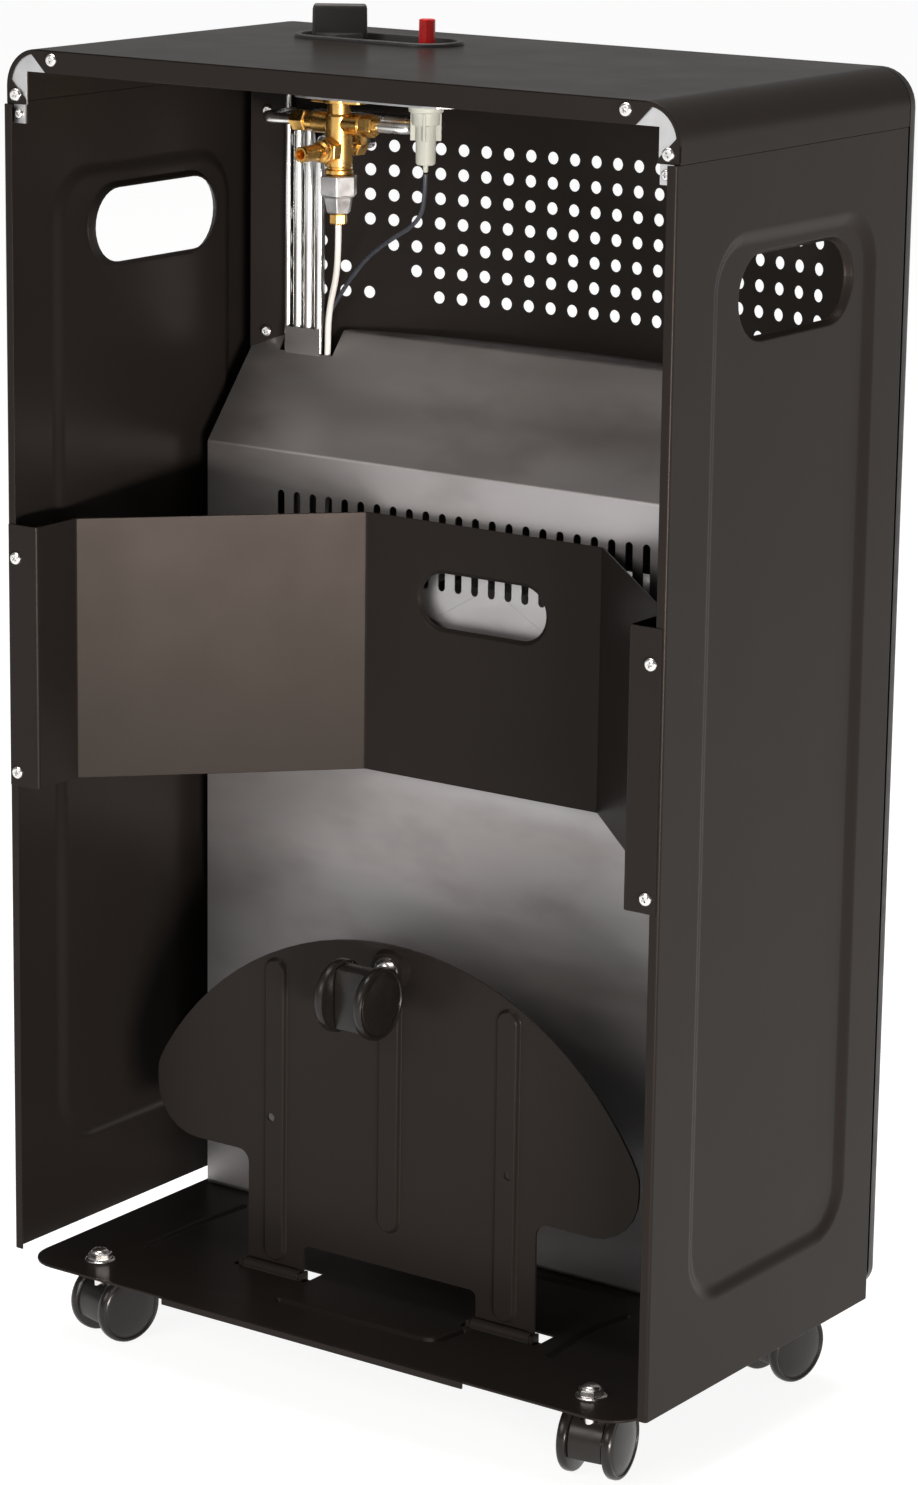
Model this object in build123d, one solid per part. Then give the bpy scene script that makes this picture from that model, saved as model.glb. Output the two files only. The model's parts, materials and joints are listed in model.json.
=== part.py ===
from build123d import *
from math import asin, cos, degrees, pi, radians, sin, sqrt
import os

# A portable gas cabinet heater with its rear cover and bottle off, as it stands for setting up.
# Millimetres. +Z is up, the burner face looks along -Y and the open rear along +Y.
# The origin is on the floor, under the middle of the overall size. +X is right, seen from the front.
# The bottle tray is folded up inside the cabinet at rest.

# ---------------------------------------------------------------- cabinet
cabinet_width = 420.0
half_width = cabinet_width / 2
panel_depth = 222.0
panel_height = 638.0
floor_gap = 49.0            # floor to the lower edge of the side panels
cover_height = 29.5         # side panel's upper edge to the top of the cover
rear_y = 112.25             # rear edge of the side panels
sheet = 1.0                 # side panels, top cover, strap, front sheet
cover_setback = 3.0         # cover's rear face, in front of the panels' rear edge
cover_corner = 20.0
fascia_depth = 9.0
fascia_wall = 1.5
fascia_edge = 4.0           # bevel of the fascia's front edge
running = 0.05              # radial clearance of pins and spindles that turn or slide
screw_radius = 1.6
screw_head_sides = 8
rod_sides = 12              # rods and pins have this many flat sides
arc_steps = 3               # straight steps that stand for a quarter round
panel_low = floor_gap
panel_top = panel_low + panel_height
top_z = panel_top + cover_height
front_y = rear_y - panel_depth
fascia_y = front_y - fascia_depth

# side panel: flanges, pressed field and hand hole
rear_flange = 5.5
front_flange = 9.0
strap_tab = 14.0            # the rear flange is this wide behind the strap
field_depth = 3.0
field_slope = 9.0
field_corner = 30.0
field_rear_margin = 36.0
field_front_margin = 29.0
field_low_margin = 47.0
field_top_margin = 37.0
hand_hole_length = 105.0
hand_hole_height = 40.0
hand_hole_rear = 67.0       # rear edge of the panel to the hole
hand_hole_top = 52.0        # top edge of the panel to the hole
hand_hole_lip = 4.0

# cover flange and the corner brackets that join it to the side panels
cover_flange = 12.0
cover_flange_side = 13.0
corner_strip = 20.0         # width of the diagonal cut that leaves the bracket in view
bracket_sheet = 1.2
bracket_arm = 38.0
bracket_tongue = 10.0
bracket_tongue_width = 8.0

# bowed front sheet, with its round perforations and the burner window
bow_edge_y = 190.0          # rear edge of the panels to the sheet at the cabinet's full width
bow_rise = 38.3             # how far its middle stands in front of that
bow_half_span = half_width - 14.0
bow_sides = 88              # the bow is a strip of flats, of a polygon with this many sides
bow_top_gap = 15.0
hole_pitch_x = 14.11
hole_pitch_z = 13.74
hole_radius = 3.4
hole_sides = 4              # as wide, edge to edge, as leaves each hole the area of a round one
hole_columns = 25
hole_rows = 7
hole_first_row = 604.0      # top row, above the panels' lower edge
window_width = 280.0
window_low = 225.0
window_height = 160.0
window_corner = 12.0

# heat shield
shield_sheet = 0.8
shield_y = 155.0            # rear edge of the panels to its upright wall
shield_half_width = half_width - 15.0
ridge_height = 438.0
hood_run = 51.0             # depth of the slope
hood_height = 500.0
vent_count = 27
vent_pitch = 11.0
vent_width = 4.6
vent_low = 373.0
vent_high = 416.0
notch_low_x = half_width - 72.0
notch_high_x = half_width - 34.5

# bottle strap
strap_low = 268.0
strap_height = 145.0
strap_side_x = half_width - 21.0
strap_side_depth = 32.0
strap_middle_x = 77.0
strap_middle_depth = 146.0
strap_flange_x = half_width - 1.5
strap_screw_inset = 7.0
strap_hole_length = 82.0
strap_hole_height = 30.0
strap_hole_low = 355.0

# base plate
base_half_width = half_width - 10.0
base_sheet = 1.5
base_drop = 2.5             # top of the base plate, below the panels' lower edge
base_overhang = 5.0
base_corner = 20.0
base_lip_half_width = 100.0
base_lip = 2.5
base_front_inset = 4.0
bead_width = 6.0
bead_rise = 1.5
base_beads = (                # middle x and depth, width along x and length along y
    (157.0, 94.0, bead_width, 82.0), (-114.0, 89.0, bead_width, 72.0),
    (-73.0, 147.0, 54.0, bead_width), (-3.0, 31.0, 100.0, bead_width), (-59.0, 45.0, bead_width, 22.0),
)

# bottle tray
tray_sheet = 1.5
tray_y = 67.0               # rear edge of the panels to the middle of the folded tray
tray_top = 199.0            # above the panels' lower edge
tray_arc_sides = 60
tray_half_width = half_width - 50.0
tray_arc = tray_half_width + 21.0
tray_lobe_low = 63.0
tray_lobe_corner = 28.0
tray_middle_low = 16.0
leg_inner_x = 58.0
leg_outer_x = 96.0
tray_bead_width = 15.0
tray_bead_rise = 2.5
tray_boss_rise = 4.3        # raised seat of the tray's caster
tray_bead_top = 178.0
tray_gap = 0.3              # unfolded tray above the base plate
hinge_pin_radius = 2.0
slot_side_gap = 6.0
tray_boss_half = 12.0
slot_front = 78.0
slot_clearance = 0.8        # hinge curl to the slot's rear edge
lug_sheet = 2.0
lug_half = 3.6
lug_foot = 5.0              # how far a lug's foot reaches beyond its slot
lug_rise = 2.8              # above the hinge pin's axis

# casters
caster_height = 45.0        # floor to the face that the caster is bolted to
wheel_radius = 20.0
wheel_width = 7.0
caster_trail = 10.0
hood_width = 19.0
hood_radius = 18.0
hood_drop = 9.0             # lower edge of the hood, below the axle
wheel_gap = 0.5
stem_radius = 4.0           # its neck in the plate, across the corners
stem_collar_radius = 8.0
nut_radius = 7.5
nut_height = 5.0
stem_pin_radius = 3.5
axle_radius = 2.5
rear_caster_x = half_width - 46.0
wheel_sides = 24
rear_caster_y = 19.0
front_caster_y = 194.0
rear_right_heading = -15.0  # how each caster stands turned at rest
rear_left_heading = 9.5
front_heading = 12.0
tray_caster_height = 186.0  # above the panels' lower edge, tray folded

# controls
console_x = 86.0
knob_x = console_x + 26.0
button_x = console_x - 32.0
control_y = 165.0
console_half_straight = 32.0
console_radius = 20.0
console_rim = 4.0
console_wall = 2.0
console_floor_depth = 8.0
knob_radius = 14.0
knob_height = 18.0
knob_skirt = 3.0
knob_grip = 30.0
knob_grip_width = 9.0
knob_turn = 35.0
knob_travel = 4.0
button_radius = 4.4
button_height = 13.3
button_travel = 5.0
spindle_radius = 3.0
plunger_radius = 2.5
control_plate_drop = 31.0
control_plate_sheet = 1.2

# burners
burner_pitch = 90.0
plaque_width = 82.0
plaque_height = 132.0
plaque_thickness = 12.0
plaque_y = 200.0
burner_low = 240.0
burner_depth = 26.0
pipe_radius = 3.0
pilot_pipe_radius = 2.0
pipe_bend = 5.0             # from a pipe's corner to each end of its slanting run
pipe_column_y = 198.6
pipe_column_x = half_width - 60.1
pipe_column_pitch = 7.3
holder_y = 184.0            # gas injectors under the burners
holder_low = 165.0
pan_half_width = 145.0      # reflector pan round the plaques
pan_low = 221.0
pan_high = 389.0
lead_radius = 1.2
pilot_x = 47.0              # pilot burner, between the centre and right plaques
pilot_y = 209.0
pilot_low = 207.0
electrode_x = 34.0
sensor_x = 60.0
pilot_notch_low = 28.0
pilot_notch_high = 66.0
wire_radius = 1.6           # front guard
wire_pitch = 24.0

os.makedirs("parts", exist_ok=True)


# ---------------------------------------------------------------- helpers
def depth(distance):
    """Y of a point this far in front of the side panels' rear edge."""
    return rear_y - distance


def height(above_panel_edge):
    """Z of a point this far above the side panels' lower edge."""
    return panel_low + above_panel_edge


def block(x_low, x_high, y_low, y_high, z_low, z_high):
    size = (x_high - x_low, y_high - y_low, z_high - z_low)
    middle = ((x_low + x_high) / 2, (y_low + y_high) / 2, (z_low + z_high) / 2)
    return Pos(*middle) * Box(*size)


def plane_x(x, y, z):
    """Plane that faces +X; its local x is +Y and its local y is +Z."""
    return Plane(origin=(x, y, z), x_dir=(0, 1, 0), z_dir=(1, 0, 0))


def plane_y(x, y, z):
    """Plane that faces +Y; its local x is -X and its local y is +Z."""
    return Plane(origin=(x, y, z), x_dir=(-1, 0, 0), z_dir=(0, 1, 0))


def plane_z(x, y, z):
    return Plane(origin=(x, y, z))


def prism(radius, start, end, sides=6):
    """A rod with flat sides, this far from its axis to its edges."""
    axis = Vector(*end) - Vector(*start)
    return extrude(Plane(origin=start, z_dir=axis) * RegularPolygon(radius, sides), axis.length)


def rod(radius, start, end):
    return prism(radius, start, end, rod_sides)


def bore(radius, start, end):
    """What a hole for a rod takes away: its flats, not its edges, are this far from the axis."""
    return prism(radius / cos(pi / rod_sides), start, end, rod_sides)


def bent_prism(radius, points, bend, sides=5):
    """A flexible lead: straight runs joined by round bends."""
    path = FilletPolyline(*points, radius=bend)
    profile = Plane(origin=path @ 0, z_dir=path % 0) * RegularPolygon(radius, sides)
    return sweep(profile, path=path)


def angled_prism(radius, points, cut, sides=6):
    """A rigid pipe, each of its bends drawn as one short slanting run."""
    line = [Vector(*points[0])]
    for before, corner, after in zip(points, points[1:], points[2:]):
        corner = Vector(*corner)
        line += [corner + (Vector(*near) - corner).normalized() * cut for near in (before, after)]
    path = Polyline(*line, Vector(*points[-1]))
    profile = Plane(origin=path @ 0, z_dir=path % 0) * RegularPolygon(radius, sides)
    return sweep(profile, path=path, transition=Transition.RIGHT)


def soft_rectangle(width, tall, high_corner, low_corner=None):
    """A rectangle whose round corners are a few straight steps; its lower two may have their own radius."""
    points = []
    for quarter, (side_x, side_y) in enumerate(((1, 1), (-1, 1), (-1, -1), (1, -1))):
        corner = high_corner if side_y > 0 or low_corner is None else low_corner
        for step in range(arc_steps + 1):
            angle = pi / 2 * (quarter + step / arc_steps)
            points.append((
                side_x * (width / 2 - corner) + corner * cos(angle),
                side_y * (tall / 2 - corner) + corner * sin(angle),
            ))
    apart = [p for p, q in zip(points, points[1:] + points[:1]) if abs(p[0] - q[0]) + abs(p[1] - q[1]) > 1e-6]
    return make_face(Polyline(*apart, close=True))


def stadium(length, tall):
    return soft_rectangle(length, tall, tall / 2)


def folded_outline(points, thickness):
    """Outline of a folded sheet: the given line, and the same line moved to its left by the thickness."""
    line = [Vector(*p) for p in points]
    normals = []
    for start, end in zip(line, line[1:]):
        along = (end - start).normalized()
        normals.append(Vector(-along.Y, along.X))
    moved = [line[0] + normals[0] * thickness]
    for corner, before, after in zip(line[1:-1], normals, normals[1:]):
        middle = (before + after).normalized()
        moved.append(corner + middle * (thickness / middle.dot(before)))
    moved.append(line[-1] + normals[-1] * thickness)
    return make_face(Polyline(*line, *reversed(moved), close=True))


def both_sides(shape):
    return [shape, mirror(shape, about=Plane.YZ)]


def screw(point, direction, length, head=3.5, head_height=2.0):
    """Pan-head screw: point is under the head, direction is where the shank goes."""
    way = Vector(*direction).normalized()
    seat = Vector(*point)
    shank = prism(screw_radius, seat, seat + way * length)
    return prism(head, seat, seat - way * head_height, screw_head_sides) + shank


def screw_hole(point, direction, reach=3.0):
    """What a screw's shank takes out of the sheets round this point."""
    way = Vector(*direction).normalized()
    return prism(screw_radius, Vector(*point) - way * reach, Vector(*point) + way * reach)


def save(name, *solids):
    shapes = [solid for shape in solids for solid in shape.solids()]
    result = shapes[0] if len(shapes) == 1 else Compound(children=shapes)
    export_step(result, f"parts/{name}.step")


# ---------------------------------------------------------------- side panels
field_length = panel_depth - field_rear_margin - field_front_margin
field_height = panel_height - field_low_margin - field_top_margin
field_y = rear_y - field_rear_margin - field_length / 2
field_z = panel_low + field_low_margin + field_height / 2
hand_hole_y = depth(hand_hole_rear + hand_hole_length / 2)
hand_hole_z = panel_top - hand_hole_top - hand_hole_height / 2
cover_rear = rear_y - cover_setback
bracket_rear = cover_rear - sheet
tab_rear = bracket_rear - bracket_sheet
strap_screws = [(half_width - strap_screw_inset, rear_y, height(level)) for level in (275.7, 394.7)]
tongue_x = half_width - sheet - bracket_tongue_width / 2 - 3.0
tongue_screw = (tongue_x, bracket_rear, panel_top - bracket_tongue / 2)


def field_block(x):
    """The pressed field as a tapered block, from its wide face at x inwards."""
    outline = soft_rectangle(field_length, field_height, field_corner)
    field = extrude(plane_x(x + sheet / 2, field_y, field_z) * outline, -field_depth - sheet / 2)
    floor = field.faces().sort_by(Axis.X)[0]
    return chamfer(floor.edges(), field_slope, field_depth, reference=floor)


def hand_hole(x, grow, amount):
    outline = stadium(hand_hole_length + 2 * grow, hand_hole_height + 2 * grow)
    return extrude(plane_x(x, hand_hole_y, hand_hole_z) * outline, -amount)


def side_panel():
    """The panel on +X, a folded sheet with a pressed field and a lipped hand hole."""
    panel = block(half_width - sheet, half_width, front_y, rear_y, panel_low, panel_top)
    panel += field_block(half_width - sheet)
    panel -= field_block(half_width)
    lip_depth = sheet + hand_hole_lip
    panel += hand_hole(half_width - field_depth, sheet, lip_depth)
    panel -= hand_hole(half_width, 0, field_depth + lip_depth + 1)
    for flange, y_low, z_low, z_high in (
        (rear_flange, rear_y - sheet, panel_low, panel_top),
        (strap_tab, rear_y - sheet, height(strap_low + 2), height(strap_low + strap_height - 2)),
        (front_flange, front_y, panel_low, panel_top),
        (half_width - tongue_x + bracket_tongue_width / 2, tab_rear - sheet,
         panel_top - bracket_tongue, panel_top),
    ):
        panel += block(half_width - flange, half_width, y_low, y_low + sheet, z_low, z_high)
    for place in (*strap_screws, tongue_screw):
        panel -= screw_hole(place, (0, -1, 0), 4)
    return panel


right_panel, left_panel = both_sides(side_panel())
save("right_side_panel", right_panel)
save("left_side_panel", left_panel)


# ---------------------------------------------------------------- top cover and its corner brackets
cover_screws = [
    (half_width - 31.2, cover_rear, top_z - 5.0),
    (half_width - cover_flange_side / 2, cover_rear, panel_top + 4.9),
]


def cover_shape(inset, y_low, y_high):
    """The cover's round-shouldered outline, this far inside its outer face."""
    high = top_z - inset
    outline = soft_rectangle(2 * (half_width - inset), high - panel_top, cover_corner - inset, 0)
    return extrude(plane_y(0, y_low, (high + panel_top) / 2) * outline, y_high - y_low)


def console_outline(grow, z_low, z_high):
    """The console's stadium outline, as a block between two heights."""
    outline = stadium(2 * (console_half_straight + console_radius + grow), 2 * (console_radius + grow))
    return extrude(plane_z(console_x, depth(control_y), z_low) * outline, z_high - z_low)


def top_cover():
    cover = cover_shape(0, front_y, cover_rear)
    cover -= cover_shape(sheet, front_y - 1, cover_rear - sheet)
    cover -= block(
        cover_flange_side - half_width, half_width - cover_flange_side,
        cover_rear - 2 * sheet, cover_rear + 1, panel_top - 1, top_z - cover_flange,
    )
    inside = cover_shape(2.5, cover_rear - 2 * sheet, cover_rear + 1)
    for side in (-1, 1):
        strip = Pos(side * (half_width - cover_corner), cover_rear, top_z - cover_corner)
        strip *= Rot(0, -45 * side, 0) * Box(4 * cover_corner, 4 * sheet, corner_strip)
        cover -= strip & inside
        for x, y, z in cover_screws:
            cover -= screw_hole((side * x, y, z), (0, -1, 0))
    return cover - console_outline(-console_wall, top_z - 2 * sheet, top_z + sheet)


def corner_bracket():
    """The bracket on +X: a flat corner plate with a tongue that reaches down behind the side panel."""
    plate = cover_shape(sheet, tab_rear, bracket_rear)
    plate &= block(half_width - bracket_arm, half_width, tab_rear, bracket_rear, panel_top, top_z)
    plate -= block(
        0, half_width - cover_flange_side, tab_rear - 1, bracket_rear + 1, 0, top_z - cover_flange
    )
    plate += block(
        tongue_x - bracket_tongue_width / 2, tongue_x + bracket_tongue_width / 2,
        tab_rear, bracket_rear, panel_top - bracket_tongue, panel_top + 4,
    )
    for place in (*cover_screws, tongue_screw):
        plate -= screw_hole(place, (0, -1, 0), 4)
    return plate


right_bracket, left_bracket = both_sides(corner_bracket())
save("top_cover", top_cover())
save("right_corner_bracket", right_bracket)
save("left_corner_bracket", left_bracket)
save("cover_screws", *[
    piece
    for place, head in ((cover_screws[0], 3.5), (cover_screws[1], 3.5), (tongue_screw, 2.8))
    for piece in both_sides(screw(place, (0, -1, 0), 4.2, head))
])


# ---------------------------------------------------------------- bowed front sheet
base_top = panel_low - base_drop
base_low = base_top - base_sheet
sheet_top = top_z - bow_top_gap
window_z = height(window_low + window_height / 2)
front_screw_x = shield_half_width - 11.0
shield_tab_height = height(hood_height - 4.1)
front_screw_heights = (shield_tab_height, height(620))
bow_radius = (half_width**2 + bow_rise**2) / (2 * bow_rise)     # its rear face
bow_centre_y = depth(bow_edge_y + bow_rise) + bow_radius


def bow_way(x):
    """Forward direction square to the flat of the bowed sheet at x."""
    step = 360 / bow_sides
    angle = radians(step * round(degrees(asin(x / bow_radius)) / step))
    return Vector(sin(angle), -cos(angle), 0)


def bow_y(x):
    """Rear face of the bowed sheet at x."""
    way = bow_way(x)
    return bow_centre_y + (bow_radius * cos(pi / bow_sides) - x * way.X) / way.Y


def behind_bow(ahead, z_low, z_high):
    """All that lies behind the bowed sheet's rear face, moved this far forward."""
    radius = bow_radius + ahead / cos(pi / bow_sides)
    outline = Rot(0, 0, 180 / bow_sides) * RegularPolygon(radius, bow_sides)
    return extrude(plane_z(0, bow_centre_y, z_low) * outline, z_high - z_low)


def perforations():
    """Rows of punched holes, with a slanting band left plain."""
    half = hole_columns // 2
    level = height(hole_first_row)
    corner = hole_radius * sqrt(2 * pi / hole_sides / sin(2 * pi / hole_sides))
    punch = prism(corner, (0, fascia_y - 10, level), (0, fascia_y + 50, level), hole_sides)
    return [
        Pos(column * hole_pitch_x, 0, -row * hole_pitch_z) * punch
        for row in range(hole_rows) for column in range(-half, half + 1)
        if row + column not in (half + 1, half + 2)
    ]


def front_sheet():
    panel = behind_bow(sheet, base_top, sheet_top) - behind_bow(0, 0, 2 * top_z)
    panel &= block(-bow_half_span, bow_half_span, fascia_y, rear_y, 0, 2 * top_z)
    window = soft_rectangle(window_width, window_height, window_corner)
    panel -= extrude(plane_y(0, fascia_y - 10, window_z) * window, 70)
    panel -= perforations()
    for side in (-1, 1):
        for level in front_screw_heights:
            place = (side * front_screw_x, bow_y(front_screw_x), level)
            panel -= screw_hole(place, bow_way(side * front_screw_x))
    return panel


save("front_sheet", front_sheet())


# ---------------------------------------------------------------- fascia frame round the bowed sheet
fascia_low = panel_low + 5.0
boss_radius = 5.0
fascia_border = half_width - front_screw_x + boss_radius      # width of the frame at the sides
fascia_low_corner = 12.0
opening_low = fascia_low + 15.0
opening_high = top_z - 22.0


def fascia_block(inset, y_low, y_high):
    """The fascia's round-cornered outline with its bevelled front edge, this far inside its faces."""
    outline = soft_rectangle(
        2 * (half_width - inset), top_z - fascia_low - 2 * inset,
        cover_corner - inset, fascia_low_corner - inset,
    )
    shape = extrude(plane_y(0, y_low, (top_z + fascia_low) / 2) * outline, y_high - y_low)
    return chamfer(shape.edges().group_by(Axis.Y)[0], fascia_edge - inset / 2)


def fascia_opening(grow, y_low):
    outline = soft_rectangle(
        cabinet_width - 2 * fascia_border + 2 * grow, opening_high - opening_low + 2 * grow,
        window_corner + grow,
    )
    return extrude(plane_y(0, y_low, (opening_high + opening_low) / 2) * outline, 60)


def fascia_boss(side, level):
    """A screw boss from the bowed sheet's front to the frame's face."""
    way = bow_way(side * front_screw_x)
    seat = Vector(side * front_screw_x, bow_y(front_screw_x), level)
    boss = prism(boss_radius, seat, seat + way * 50)
    room = block(-half_width, half_width, fascia_y + fascia_wall / 2, rear_y, level - 20, level + 20)
    return (boss & room) - screw_hole(seat, way, 12)


def fascia_frame():
    frame = fascia_block(0, fascia_y, front_y)
    frame -= fascia_block(fascia_wall, fascia_y + fascia_wall, front_y + 1)
    frame += fascia_opening(fascia_wall, fascia_y + fascia_wall / 2)
    frame -= fascia_opening(0, fascia_y - 1)
    for side in (-1, 1):
        for level in front_screw_heights:
            frame += fascia_boss(side, level)
    return frame - behind_bow(sheet, 0, 2 * top_z)


def front_screws():
    """Screws from behind through the sheet, the middle pair through the heat shield's tabs too."""
    screws = []
    for side in (-1, 1):
        way = bow_way(side * front_screw_x)
        for level in front_screw_heights:
            lift = (shield_sheet if level == shield_tab_height else 0) + 0.01
            seat = Vector(side * front_screw_x, bow_y(front_screw_x), level) - way * lift
            screws.append(screw(seat, way, 9, head=3.0))
    return screws


save("fascia_frame", fascia_frame())
save("front_screws", *front_screws())


# ---------------------------------------------------------------- base plate
base_rear = rear_y + base_overhang
base_front = front_y + base_front_inset
plate_front = depth(tray_y) - tray_sheet / 2        # the tray's face toward the burners
plate_rear = plate_front + tray_sheet
tray_caster_z = height(tray_caster_height)
tray_seat_y = plate_rear + tray_boss_rise
curl_bore = hinge_pin_radius + running
curl_outer = curl_bore / cos(pi / rod_sides) + tray_sheet
hinge_y = plate_front + curl_outer
hinge_z = base_top + tray_gap + tray_bead_rise + tray_sheet - curl_outer
slot_rear_y = hinge_y + curl_outer + slot_clearance
caster_places = {
    "rear_right": Pos(rear_caster_x, depth(rear_caster_y), base_low) * Rot(0, 0, rear_right_heading),
    "rear_left": Pos(-rear_caster_x, depth(rear_caster_y), base_low) * Rot(0, 0, rear_left_heading),
    "front_right": Pos(rear_caster_x, depth(front_caster_y), base_low) * Rot(0, 0, front_heading),
    "front_left": Pos(-rear_caster_x, depth(front_caster_y), base_low) * Rot(0, 0, -front_heading),
    "tray": Pos(0, tray_seat_y, tray_caster_z) * Rot(90, 0, 0),
}


def neck_hole(place):
    """The hole that keeps a caster's stem from turning in its plate."""
    return place * prism(stem_radius, (0, 0, -1), (0, 0, 4))


def base_plate():
    """A flat plate with two tray slots and pressed beads, which lies under the cabinet."""
    plate = block(-base_half_width, base_half_width, base_front, base_rear, base_low, base_top)
    plate = fillet(plate.edges().filter_by(Axis.Z), base_corner)
    plate += block(
        -base_lip_half_width, base_lip_half_width, base_rear, base_rear + base_sheet,
        base_low - base_lip, base_top,
    )
    for side in (-1, 1):
        x_low, x_high = sorted((side * (leg_inner_x - slot_side_gap), side * (leg_outer_x + slot_side_gap)))
        plate -= block(x_low, x_high, depth(slot_front), slot_rear_y, 0, base_top + 1)
    for x, y, width, length in base_beads:
        plate += block(
            x - width / 2, x + width / 2, depth(y) - length / 2, depth(y) + length / 2,
            base_low - bead_rise, base_low + 0.2,
        )
    for name, place in caster_places.items():
        if name != "tray":
            plate -= neck_hole(place)
    return plate


save("base_plate", base_plate())


# ---------------------------------------------------------------- heat shield
shield_front = depth(shield_y) - shield_sheet


def heat_shield():
    """One folded sheet: foot, upright wall, hood slope and lip, with cheeks closing both ends."""
    reach = bow_edge_y + bow_rise + 5
    line = [
        (depth(shield_y + 15), base_top), (depth(shield_y), base_top),
        (depth(shield_y), height(ridge_height)),
        (depth(shield_y + hood_run), height(hood_height)), (depth(reach), height(hood_height)),
    ]
    profile = folded_outline(line, shield_sheet)
    shield = extrude(plane_x(-shield_half_width, 0, 0) * profile, 2 * shield_half_width)
    cheek = make_face(Polyline(*line[1:4], (line[3][0], base_top), close=True))
    for x in (-shield_half_width, shield_half_width - shield_sheet):
        shield += extrude(plane_x(x, 0, 0) * cheek, shield_sheet)
    first = -(vent_count - 1) / 2
    for i in range(vent_count):
        x = (first + i) * vent_pitch
        shield -= block(
            x - vent_width / 2, x + vent_width / 2, shield_front - 1, depth(shield_y) + 1,
            height(vent_low), height(vent_high),
        )
    notch_y = depth(bow_edge_y + 5)
    slope_share = (bow_edge_y + 5 - shield_y) / hood_run
    notch_slope_z = height(ridge_height + (hood_height - ridge_height) * slope_share)
    shield -= block(
        notch_low_x, notch_high_x, fascia_y, notch_y, notch_slope_z - 10, height(hood_height + 5)
    )
    shield += block(
        notch_low_x + 8.5, notch_high_x - 5, notch_y, notch_y + shield_sheet,
        notch_slope_z - 1.6, height(hood_height + 0.5),
    )
    low, high = shield_tab_height - 8, shield_tab_height + 5
    tabs = behind_bow(0, low, high) - behind_bow(-shield_sheet, 0, 2 * top_z)
    for side in (-1, 1):
        x = side * front_screw_x
        shield += tabs & block(x - 5, x + 5, fascia_y, rear_y, low, high)
        shield -= screw_hole((x, bow_y(x), shield_tab_height), bow_way(x))
    return shield & behind_bow(0, 0, 2 * top_z)


save("heat_shield", heat_shield())


# ---------------------------------------------------------------- bottle strap
def bottle_strap():
    """A folded sheet across the cabinet's back that keeps the bottle in, with an obround hand hole."""
    half = [
        (strap_flange_x, rear_y + sheet), (strap_side_x, rear_y + sheet),
        (strap_side_x, depth(strap_side_depth)),
        (strap_middle_x, depth(strap_middle_depth)),
    ]
    line = half + [(-x, y) for x, y in reversed(half)]
    profile = folded_outline(list(reversed(line)), -sheet)
    strap = extrude(plane_z(0, 0, height(strap_low)) * profile, strap_height)
    hole_middle = height(strap_hole_low + strap_hole_height / 2)
    outline = stadium(strap_hole_length, strap_hole_height)
    strap -= extrude(plane_y(0, depth(strap_middle_depth) - 5, hole_middle) * outline, 10)
    for x, y, z in strap_screws:
        for side in (-1, 1):
            strap -= screw_hole((side * x, y, z), (0, -1, 0))
    return strap


save("bottle_strap", bottle_strap())
save("strap_screws", *[
    piece for x, y, z in strap_screws for piece in both_sides(screw((x, y + sheet, z), (0, -1, 0), 6))
])


# ---------------------------------------------------------------- bottle tray and its hinge
arc_centre_z = height(tray_top - tray_arc)
leg_gap = 0.5               # between a leg's curl and the lugs beside it


def pressed(x_low, x_high, z_low, z_high, rise):
    """A flat-topped pressing in the tray, raised to the rear: what it adds and what it takes away."""
    wall = tray_sheet
    return (
        block(x_low, x_high, plate_front, plate_rear + rise, z_low, z_high),
        block(
            x_low + wall, x_high - wall, plate_front - 1, plate_front + rise,
            z_low + wall, z_high - wall,
        ),
    )


def bottle_tray():
    """Round-topped plate folded up, with two lobes, two legs that end in hinge curls, and ribs."""
    plate = prism(tray_arc, (0, plate_front, arc_centre_z), (0, plate_rear, arc_centre_z), tray_arc_sides)
    plate &= block(
        -tray_half_width, tray_half_width, plate_front, plate_rear, hinge_z, height(tray_top)
    )
    lobe_low = height(tray_lobe_low)
    for x_low, x_high, z_high in (
        (-tray_half_width - 1, -leg_outer_x, lobe_low), (leg_outer_x, tray_half_width + 1, lobe_low),
        (-leg_inner_x, leg_inner_x, height(tray_middle_low)),
    ):
        plate -= block(x_low, x_high, plate_front - 1, plate_rear + 1, 0, z_high)
    lobe_corners = [
        edge for edge in plate.edges().filter_by(Axis.Y)
        if abs(abs(edge.center().X) - tray_half_width) < 0.01 and abs(edge.center().Z - lobe_low) < 0.01
    ]
    plate = fillet(lobe_corners, tray_lobe_corner)
    leg_x = (leg_inner_x + leg_outer_x) / 2
    half = tray_bead_width / 2
    for x_low, x_high, z_low, z_high, rise in (
        (-leg_x - half, -leg_x + half, hinge_z + 8, height(tray_bead_top), tray_bead_rise),
        (leg_x - half, leg_x + half, hinge_z + 8, height(tray_bead_top), tray_bead_rise),
        (-half, half, height(tray_middle_low + 20), height(tray_bead_top - 10), tray_bead_rise),
        (-tray_boss_half, tray_boss_half, tray_caster_z - tray_boss_half,
         tray_caster_z + tray_boss_half - 2, tray_boss_rise),
    ):
        added, removed = pressed(x_low, x_high, z_low, z_high, rise)
        plate = plate + added - removed
    for side in (-1, 1):
        inner, outer = side * leg_inner_x, side * leg_outer_x
        plate += rod(curl_outer, (inner, hinge_y, hinge_z), (outer, hinge_y, hinge_z))
        plate -= bore(curl_bore, (inner - side, hinge_y, hinge_z), (outer + side, hinge_y, hinge_z))
    return plate - neck_hole(caster_places["tray"])


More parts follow.
